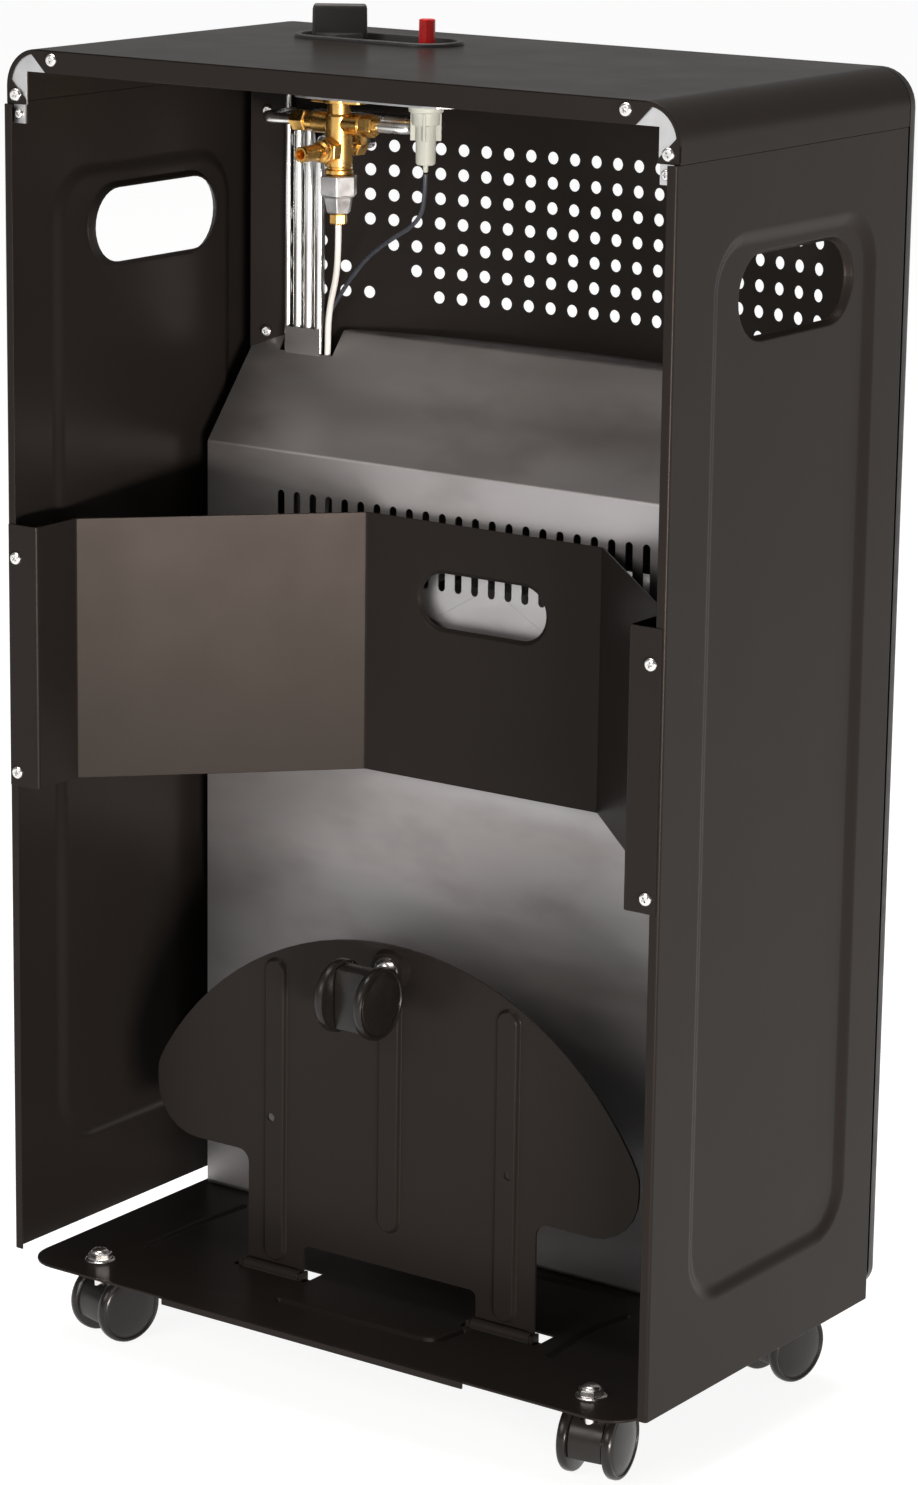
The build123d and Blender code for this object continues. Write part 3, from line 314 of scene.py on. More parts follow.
def face_outward(mesh):
    work = bmesh.new()
    work.from_mesh(mesh)
    bmesh.ops.recalc_face_normals(work, faces=work.faces)
    work.to_mesh(mesh)
    work.free()


class Solid:
    """Points and faces of a turned or prismatic piece, gathered before it is made."""

    def __init__(self, place=None):
        self.points, self.faces, self.place = [], [], place or Matrix.Identity(4)

    def add(self, points, faces):
        first = len(self.points)
        self.points += [self.place @ Vector(p) for p in points]
        self.faces += [tuple(first + i for i in face) for face in faces]

    def turn(self, profile, start, way, sides=32, phase=0.0):
        """Turn a profile of (distance along, radius) round the line from start toward way."""
        start, way = Vector(start), Vector(way).normalized()
        across = way.orthogonal().normalized()
        up = way.cross(across)
        rings, points, faces = [], [], []
        for along, radius in profile:
            if radius < 1e-6:
                rings.append([len(points)])
                points.append(start + way * along)
                continue
            rings.append(list(range(len(points), len(points) + sides)))
            for i in range(sides):
                angle = 2 * pi * i / sides + phase
                out = across * cos(angle) + up * sin(angle)
                points.append(start + way * along + out * radius)
        for low, high in zip(rings, rings[1:]):
            m, n = len(low), len(high)      # 1 where the profile meets its axis
            for i in range(sides):
                j = (i + 1) % sides
                face = dict.fromkeys((low[i % m], low[j % m], high[j % n], high[i % n]))
                if len(face) > 2:
                    faces.append(tuple(face))
        self.add(points, faces)

    def extrude(self, outline, axis, low, high):
        """Close a 2-D outline into a block along axis 0, 1 or 2, from low to high."""
        points = [(*p[:axis], level, *p[axis:]) for level in (low, high) for p in outline]
        count = len(outline)
        faces = [tuple(range(count)), tuple(range(2 * count - 1, count - 1, -1))]
        for i in range(count):
            j = (i + 1) % count
            faces.append((i, i + count, j + count, j))
        self.add(points, faces)

    def skin(self, loops, capped=False):
        """Join closed loops of equal count into one surface, and close it at its last loop."""
        count = len(loops[0])
        faces = []
        for k in range(0, (len(loops) - 1) * count, count):
            for i in range(count):
                j = (i + 1) % count
                faces.append((k + i, k + j, k + count + j, k + count + i))
        if capped:
            faces.append(tuple(range((len(loops) - 1) * count, len(loops) * count)))
        self.add([point for loop in loops for point in loop], faces)

    def piece(self, name, slot, body="cabinet", smooth=38, bevel=0.0):
        piece = mesh_piece(name, self.points, self.faces, slot, body, smooth)
        face_outward(piece.data)
        if bevel:
            soft_edges(piece, bevel)


def rounded_box(half_x, half_y, radius, middle=(0, 0), grow=0.0, steps=8):
    """Corner-rounded rectangle as a closed loop of points, grown by an offset."""
    half_x, half_y, radius = half_x + grow, half_y + grow, max(radius + grow, 0.01)
    loop = []
    for corner, (sx, sy) in enumerate(((1, 1), (-1, 1), (-1, -1), (1, -1))):
        place = middle[0] + sx * (half_x - radius), middle[1] + sy * (half_y - radius)
        loop += arc(place, radius, corner * pi / 2, pi / 2, steps)
    return [p for p, q in zip(loop, loop[1:] + loop[:1]) if dist(p, q) > 1e-4]


def circle(middle, radius, steps=14):
    return [polar(middle, radius, 2 * pi * (i + 0.5) / steps) for i in range(steps)]


def round_corner(before, corner, after, radius):
    """The middle of a round, and the ways from it to where the round starts and ends."""
    back, ahead = (before - corner).normalized(), (after - corner).normalized()
    opening = back.angle(ahead)
    reach = radius / tan(opening / 2)
    middle = corner + (back + ahead).normalized() * (radius / sin(opening / 2))
    return middle, corner + back * reach - middle, corner + ahead * reach - middle


def rounded_corners(corners, steps=6):
    """Closed loop through (x, y, radius) corners, each rounded to its radius."""
    loop = []
    for i, corner in enumerate(corners):
        before, after = corners[i - 1], corners[(i + 1) % len(corners)]
        here = Vector(corner[:2])
        if corner[2] <= 0:
            loop.append(tuple(here))
            continue
        middle, first, last = round_corner(Vector(before[:2]), here, Vector(after[:2]), corner[2])
        start = atan2(first.y, first.x)
        turn = (atan2(last.y, last.x) - start + pi) % (2 * pi) - pi
        loop += arc(middle, corner[2], start, turn, steps)
    return loop


def inside(point, loop):
    x, y = point
    found = False
    for (x1, y1), (x2, y2) in zip(loop, loop[1:] + loop[:1]):
        if (y1 > y) != (y2 > y) and x < (x2 - x1) * (y - y1) / (y2 - y1) + x1:
            found = not found
    return found


def cut_blank(outline, holes=(), guides=(), lines=()):
    """Triangles of a flat blank with holes; guides and lines are edges that its form needs."""
    points, edges = [], []
    closed = [outline, *holes, *guides]
    for k, loop in enumerate([*closed, *lines]):
        first, count = len(points), len(loop)
        points += [Vector(p) for p in loop]
        ends = count if k < len(closed) else count - 1
        edges += [(first + i, first + (i + 1) % count) for i in range(ends)]
    found, _, faces, *_ = delaunay_2d_cdt(points, edges, [], 0, 1e-4)
    kept = []
    for face in faces:
        middle = (found[face[0]] + found[face[1]] + found[face[2]]) / 3
        if inside(middle, outline) and not any(inside(middle, hole) for hole in holes):
            kept.append(face)
    used = {i: n for n, i in enumerate(sorted({i for face in kept for i in face}))}
    return [found[i] for i in used], [tuple(used[i] for i in face) for face in kept]


def formed_sheet(
    name, form, outline, holes=(), guides=(), lines=(), patches=(), thickness=SHEET, side=-1,
    slot="black_paint", flip=False, bevel=0.3, body="cabinet",
):
    """Bend a flat blank into its form, add plain patches, and thicken it toward one side."""
    flat, faces = cut_blank(outline, holes, guides, lines)
    points = [form(x, y) for x, y in flat]
    for patch in patches:
        faces.append(tuple(range(len(points), len(points) + len(patch))))
        points += patch
    if flip:
        faces = [face[::-1] for face in faces]
    piece = mesh_piece(name, points, faces, slot, body)
    add_modifier(piece, "SOLIDIFY", thickness=thickness * MM, offset=side, use_even_offset=True)
    soft_edges(piece, bevel)


class Fold:
    """A folded sheet's line in a plane: at(s) gives the point and direction s along it."""

    def __init__(self, corners, radius, steps=6):
        points = [Vector(c) for c in corners]
        self.parts, self.bends = [], []
        start, s = points[0], 0.0
        for i in range(1, len(points) - 1):
            before = (points[i] - points[i - 1]).normalized()
            after = (points[i + 1] - points[i]).normalized()
            turn = atan2(before.x * after.y - before.y * after.x, before.dot(after))
            end = points[i] - before * radius * tan(abs(turn) / 2)
            self.parts.append((s, start, before, 0.0))
            s += (end - start).length
            self.parts.append((s, end, before, copysign(1 / radius, turn)))
            arc = radius * abs(turn)
            self.bends += [s + arc * k / steps for k in range(steps + 1)]
            s += arc
            start = points[i] + after * radius * tan(abs(turn) / 2)
        last = (points[-1] - points[-2]).normalized()
        self.parts.append((s, start, last, 0.0))
        self.length = s + (points[-1] - start).length

    def at(self, s):
        passed = [part for part in self.parts if part[0] <= s]
        first, start, way, curve = passed[-1] if passed else self.parts[0]
        run = s - first
        if not curve:
            return start + way * run, way
        turn = run * curve
        side = Vector((-way.y, way.x))
        return (
            start + (way * sin(turn) + side * (1 - cos(turn))) / curve,
            way * cos(turn) + side * sin(turn),
        )


def smooth(share):
    share = min(max(share, 0.0), 1.0)
    return share * share * (3 - 2 * share)


def box_distance(x, y, half_x, half_y, radius):
    """Signed distance from a point to a corner-rounded rectangle, negative inside."""
    dx, dy = abs(x) - half_x + radius, abs(y) - half_y + radius
    return hypot(max(dx, 0), max(dy, 0)) + min(max(dx, dy), 0) - radius


def line_distance(point, line):
    """Distance from a point to an open line of points."""
    best = 1e9
    for start, end in zip(line, line[1:]):
        start, end = Vector(start), Vector(end)
        along = end - start
        share = min(max((Vector(point) - start).dot(along) / along.length_squared, 0), 1)
        best = min(best, (Vector(point) - start - along * share).length)
    return best


# ---- leads, pipes and wires
def curve_piece(name, route, radius, slot, kind="NURBS"):
    """A round bar along a route, which stands for the CAD node of its name."""
    curve = bpy.data.curves.new(name, "CURVE")
    curve.dimensions = "3D"
    spline = curve.splines.new(kind)
    spline.points.add(len(route) - 1)
    for point, place in zip(spline.points, route):
        point.co = (*(Vector(place) * MM), 1)
    spline.use_smooth = True
    if kind == "NURBS":
        spline.order_u = 3
        spline.use_endpoint_u = True
        spline.resolution_u = 12
    curve.bevel_depth = radius * MM
    curve.bevel_resolution = 5
    curve.use_fill_caps = True
    return finish_piece(name, curve, slot)


ignition_route = placed([
    (54, 165, 598), (54, 165, 588), (62, 172, 571), (92, 182, 556), (120, 196, 540),
    (146, 205.3, 512), (154, 204.8, 496), (154, 204.6, 470), (154, 204.6, 226), (149, 207, 205),
    (62, 216, 188), (36, 215, 189), (34, 209, 197), (34, 209, 205),
])
ignition_lead = curve_piece("ignition_lead", ignition_route, 1.2, "lead_insulation")
sensor_route = placed([
    (112, 165, 566), (112, 165, 556), (124, 180, 535), (142.2, 197.2, 512), (143, 197.2, 490),
    (143, 197.2, 225), (138, 203, 202), (75, 208, 190), (60, 209, 199), (60, 209, 232),
])
thermocouple_lead = curve_piece("thermocouple_lead", sensor_route, 1.75, "white_sleeve")
Vector(ignition_route[0]) * MM
Vector(sensor_route[0]) * MM


def bent(route, radius, steps=7):
    """A rigid pipe's centreline: straight runs joined by a pipe bender's arcs."""
    line = [Vector(route[0])]
    for before, corner, after in zip(route, route[1:], route[2:]):
        middle, first, last = round_corner(Vector(before), Vector(corner), Vector(after), radius)
        whole = first.angle(last)
        for i in range(steps + 1):
            share = i / steps
            line.append(middle + (
                first * sin((1 - share) * whole) + last * sin(share * whole)
            ) / sin(whole))
    return [*line, Vector(route[-1])]


COLUMN_X, COLUMN_Y, COLUMN_PITCH = 149.9, 198.6, 7.3
for name, start, column, level, x in (
    ("right", [(112, 187, 608), (112, COLUMN_Y, 608)], 0, 150, 90),
    ("centre", [(85, 165, 621), (66, 165, 621), (66, COLUMN_Y, 621)], 1, 140, 0),
    ("left", [(144, 165, 621), (COLUMN_X + 2 * COLUMN_PITCH, 165, 621)], 2, 130, -90),
):
    column_x = COLUMN_X + column * COLUMN_PITCH
    route = placed([
        *start, (column_x, COLUMN_Y, start[-1][2]), (column_x, COLUMN_Y, level),
        (x, COLUMN_Y, level), (x, 184, level), (x, 184, 165),
    ])
    curve_piece(f"{name}_burner_pipe", bent(route, 7), 3.0, "pipe_aluminium", "POLY")
pilot_x = COLUMN_X + 3 * COLUMN_PITCH
curve_piece("pilot_pipe", bent(placed([
    (121, 174, 633), (121, COLUMN_Y, 633), (pilot_x, COLUMN_Y, 633), (pilot_x, COLUMN_Y, 120),
    (47, COLUMN_Y, 120), (47, 209, 120), (47, 209, 207),
]), 4.5), 2.0, "pipe_aluminium", "POLY")


# ---- bowed front sheet
BOW_RISE, BOW_EDGE = 38.3, 190.0
BOW_RADIUS = (HALF_WIDTH**2 + BOW_RISE**2) / (2 * BOW_RISE)
BOW_CENTRE_Y = depth(BOW_EDGE + BOW_RISE) + BOW_RADIUS
HOLE_PITCH_X, HOLE_PITCH_Z, HOLE_COLUMNS, HOLE_ROWS = 14.11, 13.74, 25, 7


def along_bow(x):
    return BOW_RADIUS * asin(x / BOW_RADIUS)


def bow_y(x):
    return BOW_CENTRE_Y - sqrt(BOW_RADIUS**2 - x**2)


def bowed(s, z, behind=0.0):
    angle = s / BOW_RADIUS
    radius = BOW_RADIUS - behind
    return Vector((radius * sin(angle), BOW_CENTRE_Y - radius * cos(angle), z))


def front_sheet():
    edge = along_bow(196)
    outline = rectangle(-edge, edge, BASE_TOP, TOP_Z - 15)
    window = rounded_box(140, 80, 12, (0, height(305)))
    holes = [[(along_bow(x), z) for x, z in window]]
    half = HOLE_COLUMNS // 2
    for row in range(HOLE_ROWS):
        for column in range(-half, half + 1):
            if row + column not in (half + 1, half + 2):
                middle = (along_bow(column * HOLE_PITCH_X), height(604) - row * HOLE_PITCH_Z)
                holes.append(circle(middle, 3.45))
    seams = [along_bow((column + 0.5) * HOLE_PITCH_X) for column in range(-half - 1, half + 1)]
    lines = [[(s, BASE_TOP - 1), (s, TOP_Z)] for s in seams]
    formed_sheet(
        "front_sheet", bowed, outline, holes, lines=lines, side=1, slot="sheet_paint", bevel=0.25,
    )


front_sheet()


# ---- side panels
FIELD_REAR, FIELD_FRONT, FIELD_LOW, FIELD_TOP = 36, 29, 47, 37      # margins round the field
FIELD_CORNER, FIELD_DEPTH, FIELD_SLOPE = 30, 3, 9
HAND_HOLE = (52.5, 20)      # half its length and height


def side_panel(name, way):
    """A folded panel with its pressed field and the lipped hand hole; way is 1 for +X."""
    radius, front_flange, rear_flange = 1.8, 9.0, 5.5
    fold = Fold([
        (HALF_WIDTH - front_flange, FRONT_Y), (HALF_WIDTH, FRONT_Y),
        (HALF_WIDTH, REAR_Y), (HALF_WIDTH - rear_flange, REAR_Y),
    ], radius)
    wall = front_flange - radius + radius * pi / 2 - FRONT_Y - radius   # s less y on the wall
    field = (PANEL_DEPTH - FIELD_REAR - FIELD_FRONT) / 2, (638.0 - FIELD_LOW - FIELD_TOP) / 2
    field_middle = wall + depth(FIELD_REAR + field[0]), height(FIELD_LOW + field[1])
    hole_middle = wall + depth(67 + HAND_HOLE[0]), PANEL_TOP - 52 - HAND_HOLE[1]
    end, tab = fold.length, 14.0 - rear_flange
    tab_low, tab_high = height(270), height(411)
    outline = [
        (0, PANEL_LOW), (end, PANEL_LOW), (end, tab_low), (end + tab, tab_low),
        (end + tab, tab_high), (end, tab_high), (end, PANEL_TOP), (0, PANEL_TOP),
    ]
    guides = [
        rounded_box(*field, FIELD_CORNER, field_middle, -FIELD_SLOPE * k / 8) for k in range(9)
    ]
    hole, *rims = [
        rounded_box(*HAND_HOLE, 19.99, hole_middle, grow) for grow in (0, 0.5, 1.1, 1.8, 2.6, 3.6)
    ]
    lines = [[(s, PANEL_LOW - 1), (s, PANEL_TOP + 1)] for s in fold.bends]

    def form(s, z):
        point, along = fold.at(s)
        edge = box_distance(s - field_middle[0], z - field_middle[1], *field, FIELD_CORNER)
        pressed = FIELD_DEPTH * smooth(-edge / FIELD_SLOPE)
        rim = box_distance(s - hole_middle[0], z - hole_middle[1], *HAND_HOLE, 20)
        pressed += 4 * (1 - smooth(rim / 3.0)) if rim < 3.6 else 0
        return Vector((way * (point.x - along.y * pressed), point.y + along.x * pressed, z))

    tab_y = COVER_REAR - SHEET - 1.2
    patch = [Vector((way * x, tab_y, z)) for x, z in rectangle(209.5, 198, 677, PANEL_TOP)]
    formed_sheet(name, form, outline, [hole], guides + rims, lines, [patch], flip=way < 0)


side_panel("right_side_panel", 1)
side_panel("left_side_panel", -1)


# ---- heat shield
SHIELD_HALF = 195
SHIELD_NOTCH = (138, 175.5)             # where the pipes pass
SHIELD_WALL, SHIELD_HOOD = 155, 206     # how far in front the wall and the hood's rear edge are
WALL_TOP, HOOD_LEVEL = 438, 500


def heat_shield():
    reach = BOW_EDGE + BOW_RISE + 5
    fold = Fold([
        (depth(170), BASE_TOP), (depth(SHIELD_WALL), BASE_TOP),
        (depth(SHIELD_WALL), height(WALL_TOP)), (depth(SHIELD_HOOD), height(HOOD_LEVEL)),
        (depth(reach), height(HOOD_LEVEL)),
    ], 3.0)

    def length_at(y):
        """Length along the hood where it has come forward to y."""
        low, high = 400.0, fold.length + 20
        for _ in range(40):
            middle = (low + high) / 2
            if fold.at(middle)[0].x > y:
                low = middle
            else:
                high = middle
        return low

    def meets_bow(x):
        return x, length_at(bow_y(x) + 0.3)

    notch, (notch_low, notch_high), steps = length_at(depth(195)), SHIELD_NOTCH, 40
    front = [meets_bow(SHIELD_HALF * (1 - 2 * i / steps)) for i in range(steps + 1)]
    outline = [(-SHIELD_HALF, 0), (SHIELD_HALF, 0)]
    outline += [point for point in front if point[0] >= notch_high]
    outline += [meets_bow(notch_high), (notch_high, notch)]
    outline += [(notch_low, notch), meets_bow(notch_low)]
    outline += [point for point in front if point[0] <= notch_low]
    wall = fold.at(60)[0].y - 60          # z less length on the upright wall
    vents = [
        rounded_box(2.3, 21.5, 2.29, ((i - 13) * 11.0, height(394.5) - wall), steps=5)
        for i in range(27)
    ]
    lines = [[(-200, s), (200, s)] for s in (*fold.bends, 120, 200, 280)]

    def form(x, s):
        point, _ = fold.at(s)
        return Vector((x, point.x, point.y))

    back, front_y = depth(SHIELD_WALL + 0.5), depth(SHIELD_HOOD)
    cheek = [
        (back, BASE_TOP + 1), (front_y, BASE_TOP + 1), (front_y, height(HOOD_LEVEL - 0.5)),
        (back, height(WALL_TOP - 0.5)),
    ]
    patches = [[Vector((side * 194.8, y, z)) for y, z in cheek[::side]] for side in (-1, 1)]
    patches.append([Vector((x, depth(194.2), z)) for x, z in rectangle(146.5, 170.5, 534.5, 549.5)])
    for side in (-1, 1):
        tab = rectangle(182, 191, 537, 550)
        patches.append([bowed(along_bow(side * x), z, 0.05) for x, z in tab[::side]])
    formed_sheet(
        "heat_shield", form, outline, vents, lines=lines, patches=patches, thickness=0.8, side=1,
        slot="shield_steel", bevel=0.2,
    )


heat_shield()


# ---- bottle strap
def bottle_strap():
    half = [(208.5, REAR_Y + SHEET), (189, REAR_Y + SHEET), (189, depth(32)), (77, depth(146))]
    fold = Fold(half + [(-x, y) for x, y in reversed(half)], 2.5)
    low, high, grip, middle = height(268), height(413), (41, 15), (fold.length / 2, height(370))
    hole, *guides = [rounded_box(*grip, 14.99, middle, grow) for grow in (0, 0.5, 1.1, 1.9, 2.8)]
    lines = [[(s, low - 1), (s, high + 1)] for s in fold.bends]

    def form(s, z):
        point, along = fold.at(s)
        rim = box_distance(s - middle[0], z - middle[1], *grip, 15)
        lip = 1.6 * (1 - smooth(rim / 2.8))
        return Vector((point.x - along.y * lip, point.y + along.x * lip, z))

    outline = rectangle(0, fold.length, low, high)
    formed_sheet("bottle_strap", form, outline, [hole], guides, lines)


bottle_strap()


# ---- base plate
SLOT_REAR, SLOT_FRONT = 59.7, 78
BEAD_DEPTH, BEAD_REACH = 2.4, 3.6
BEADS = (
    [(157, 53), (157.5, 93), (154, 136)], [(-116, 53), (-112, 87), (-113, 105), (-117, 126)],
    [(-46, 146), (-100, 148)], [(48, 31), (-46, 31), (-53, 33), (-57, 37), (-59, 55)],
)


def bead_guide(line, reach):
    """Closed loop round a bead at a distance from its line, with rounded ends."""
    sides = []
    for points in (line, line[::-1]):
        for i, point in enumerate(points):
            before = (points[max(i, 1)] - points[max(i, 1) - 1]).normalized()
            after = (points[i + 1] - point).normalized() if i < len(points) - 1 else before
            way = (before + after).normalized()
            sides.append(tuple(point + Vector((way.y, -way.x)) * reach))
        end = (points[-1] - points[-2]).normalized()
        for k in (1, 2, 3):
            angle = pi * k / 4
            turned = Vector((end.y, -end.x)) * cos(angle) + end * sin(angle)
            sides.append(tuple(points[-1] + turned * reach))
    return sides


def base_plate():
    rear, front = REAR_Y + 5.0, FRONT_Y + 4.0
    middle = (0, (rear + front) / 2)
    outline = rounded_box(200, (rear - front) / 2, 20, middle)
    slot_half, slot_y = (SLOT_FRONT - SLOT_REAR) / 2, depth((SLOT_FRONT + SLOT_REAR) / 2)
    slots = [rounded_box(25, slot_half, 2, (side * 77, slot_y), steps=4) for side in (-1, 1)]
    lines = [[Vector((x, depth(y))) for x, y in bead] for bead in BEADS]
    guides = [bead_guide(line, BEAD_REACH * k / 3) for line in lines for k in (1, 2, 3)]

    def form(x, y):
        nearest = min(line_distance((x, y), line) for line in lines)
        return Vector((x, y, BASE_TOP - BEAD_DEPTH * smooth(1 - nearest / BEAD_REACH)))

    lip = [Vector((x, rear + 1.5, z)) for x, z in rectangle(100, -100, 42.6, 46.4)]
    formed_sheet("base_plate", form, outline, slots, guides, lines, [lip], PLATE, bevel=0.35)


base_plate()


# ---- bottle tray
PLATE_FRONT = depth(67) - 0.75
PLATE_REAR = PLATE_FRONT + PLATE
CURL = 2.05 / cos(pi / 12) + PLATE
HINGE_Y, HINGE_Z = PLATE_FRONT + CURL, BASE_TOP + 4.3 - CURL
TRAY_CASTER_Z = height(186)
TRAY_SEAT_Y = PLATE_REAR + 4.3
TRAY_HALF, TRAY_ARC = 160, 181
LEG_INNER, LEG_OUTER = 58, 96
RIB_HALF, RIB_RISE, RIB_SLOPE = 7.5, 2.5, 1.8


def bottle_tray():
    side = [
        (TRAY_HALF, height(102), 18), (TRAY_HALF, height(63), 28), (LEG_OUTER, height(63), 7),
        (LEG_OUTER, HINGE_Z, 0), (LEG_INNER, HINGE_Z, 0), (LEG_INNER, height(16), 4),
    ]
    limit = acos(TRAY_HALF / TRAY_ARC) + 0.06
    end = [(*p, 0) for p in arc((0, height(199 - TRAY_ARC)), TRAY_ARC, limit, pi - 2 * limit, 30)]
    outline = rounded_corners(end + [(-x, z, r) for x, z, r in side] + side[::-1])
    ribs = [
        ((x, low), (x, high), RIB_HALF, RIB_RISE) for x, low, high in (
            (-77, HINGE_Z + 12, height(170.5)), (77, HINGE_Z + 12, height(170.5)),
            (0, height(43.5), height(168)),
        )
    ]
    ribs.append(((-2, TRAY_CASTER_Z), (2, TRAY_CASTER_Z), 10.5, 4.3))
    guides = [
        rounded_box(
            (x1 - x0) / 2 + radius, (z1 - z0) / 2 + radius, radius - 0.01,
            ((x0 + x1) / 2, (z0 + z1) / 2), -RIB_SLOPE * k / 4, 6,
        )
        for (x0, z0), (x1, z1), radius, _ in ribs for k in (4, 3, 2, 1, 0)
    ]
    holes = [circle((x, height(86.4)), 2.5, 12) for x in (-79, 79)]

    def form(x, z):
        rise = max(
            high * smooth((radius - line_distance((x, z), (start, end))) / RIB_SLOPE)
            for start, end, radius, high in ribs
        )
        return Vector((x, PLATE_REAR + rise, z))

    formed_sheet(
        "bottle_tray", form, outline, holes, guides, thickness=PLATE, flip=True, bevel=0.35,
        body="tray",
    )
    curls = Solid()
    for x_low, x_high in ((LEG_INNER, LEG_OUTER), (-LEG_OUTER, -LEG_INNER)):
        outer, inner = (
            arc((HINGE_Y, HINGE_Z), radius, pi, radians(265), 20) for radius in (CURL, 2.06)
        )
        curls.extrude(outer + inner[::-1], 0, x_low, x_high)
    curls.piece("tray_curls", "black_paint", body="tray", bevel=0.2)


bottle_tray()


# ---- screws and nuts
def pan_head(solid, seat, way, radius, spin):
    """A pan head with a cross recess, and a short shank below it."""
    way, rise, flat = Vector(way).normalized(), 2.0, radius * 0.62
    solid.turn([
        (-3, 0), (-3, 1.5), (0, 1.5), (0, radius), (rise * 0.35, radius),
        (rise * 0.68, radius * 0.93), (rise * 0.9, radius * 0.8), (rise, flat),
    ], seat, way, 24)
    arm, half = radius * 0.45, radius * 0.13
    cross = [(arm, -half), (arm, half), (half, half)]
    for _ in range(3):
        cross += [(-b, a) for a, b in cross[-3:]]
    across = Matrix.Rotation(spin, 3, way) @ way.orthogonal().normalized()
    up = way.cross(across)

    def put(points, level):
        return [Vector(seat) + way * level + across * a + up * b for a, b in points]

    top, faces = cut_blank(circle((0, 0), flat, 24), [cross])
    solid.add(put(top, rise), faces)
    deep = [(a * 0.55, b * 0.55) for a, b in cross]
    walls = [(i, (i + 1) % 12, (i + 1) % 12 + 12, i + 12) for i in range(12)]
    solid.add(put(cross, rise) + put(deep, rise * 0.35), walls + [tuple(range(12, 24))])


def screws():
    cover, strap, front = Solid(), Solid(), Solid()
    for side in (-1, 1):
        for k, (x, y, z, r) in enumerate((
            (178.8, COVER_REAR, height(662.5), 3.5), (203.5, COVER_REAR, height(642.9), 3.5),
            (202, COVER_REAR - SHEET, PANEL_TOP - 5, 2.8),
        )):
            pan_head(cover, (side * x, y, z), (0, 1, 0), r, 0.5 + k * 1.1 + side * 0.3)
        for k, z in enumerate((height(275.7), height(394.7))):
            seat = (side * 203, REAR_Y + SHEET, z)
            pan_head(strap, seat, (0, 1, 0), 3.5, 0.2 + k * 0.9 + side * 0.5)
        for k, z in enumerate((height(495.9), height(620))):
            seat = bowed(along_bow(side * 186.5), z, 0.8 if k == 0 else 0)
            way = Vector((0, BOW_CENTRE_Y, z)) - seat
            pan_head(front, seat, (way.x, way.y, 0), 3.2, 0.3 + k)
    cover.piece("cover_screws", "bright_zinc")
    strap.piece("strap_screws", "bright_zinc")
    front.piece("front_screws", "bright_zinc")


screws()


# ---- casters
AXLE_Y, AXLE_Z = -10.0, -25.0
CASTERS = {
    name: spun((x, depth(y), BASE_LOW), heading) for name, x, y, heading in (
        ("rear_right", 164, 19, -15), ("rear_left", -164, 19, 9.5),
        ("front_right", 164, 194, 12), ("front_left", -164, 194, -12),
    )
}
CASTERS["tray"] = spun((0, TRAY_SEAT_Y, TRAY_CASTER_Z), 90, "X")
WHEEL = [
    (6.6, 0), (6.6, 3), (6.45, 7), (6.1, 11), (5.4, 15), (5.0, 16.6), (4.75, 16.9), (4.8, 17.3),
    (5.3, 17.7), (5.5, 18.3), (5.3, 19.1), (4.6, 19.7), (3.4, 20), (1.2, 19.9), (0.4, 19.4),
    (0, 18.6), (0, 3.5), (-0.6, 3.4), (-0.6, 0),
]


def hood_mesh():
    """The hood's barrel, with the notch in its front that leaves the stem free."""
    barrel = arc((AXLE_Y, AXLE_Z), 18, radians(-24), radians(228), 36)
    barrel += [(AXLE_Y - 9, AXLE_Z - 9), (AXLE_Y + 9, AXLE_Z - 9)]
    notch = [(-5, 14), *arc((0, 0), 5, pi, pi, 12), (5, 14)]
    pieces = []
    for outline, axis, low, high in ((barrel, 0, -9.5, 9.5), (notch, 2, -11.5, 2)):
        solid = Solid()
        solid.extrude(outline, axis, low, high)
        mesh = bpy.data.meshes.new("hood")
        mesh.from_pydata([Vector(p) * MM for p in solid.points], [], solid.faces)
        face_outward(mesh)
        pieces.append(linked("hood", mesh))
    add_modifier(pieces[0], "BOOLEAN", object=pieces[1], operation="DIFFERENCE", solver="EXACT")
    bpy.context.view_layer.update()
    graph = bpy.context.evaluated_depsgraph_get()
    result = bpy.data.meshes.new_from_object(pieces[0].evaluated_get(graph))
    for piece in pieces:
        bpy.data.objects.remove(piece)
    assert len(result.polygons) > 40, len(result.polygons)
    return result


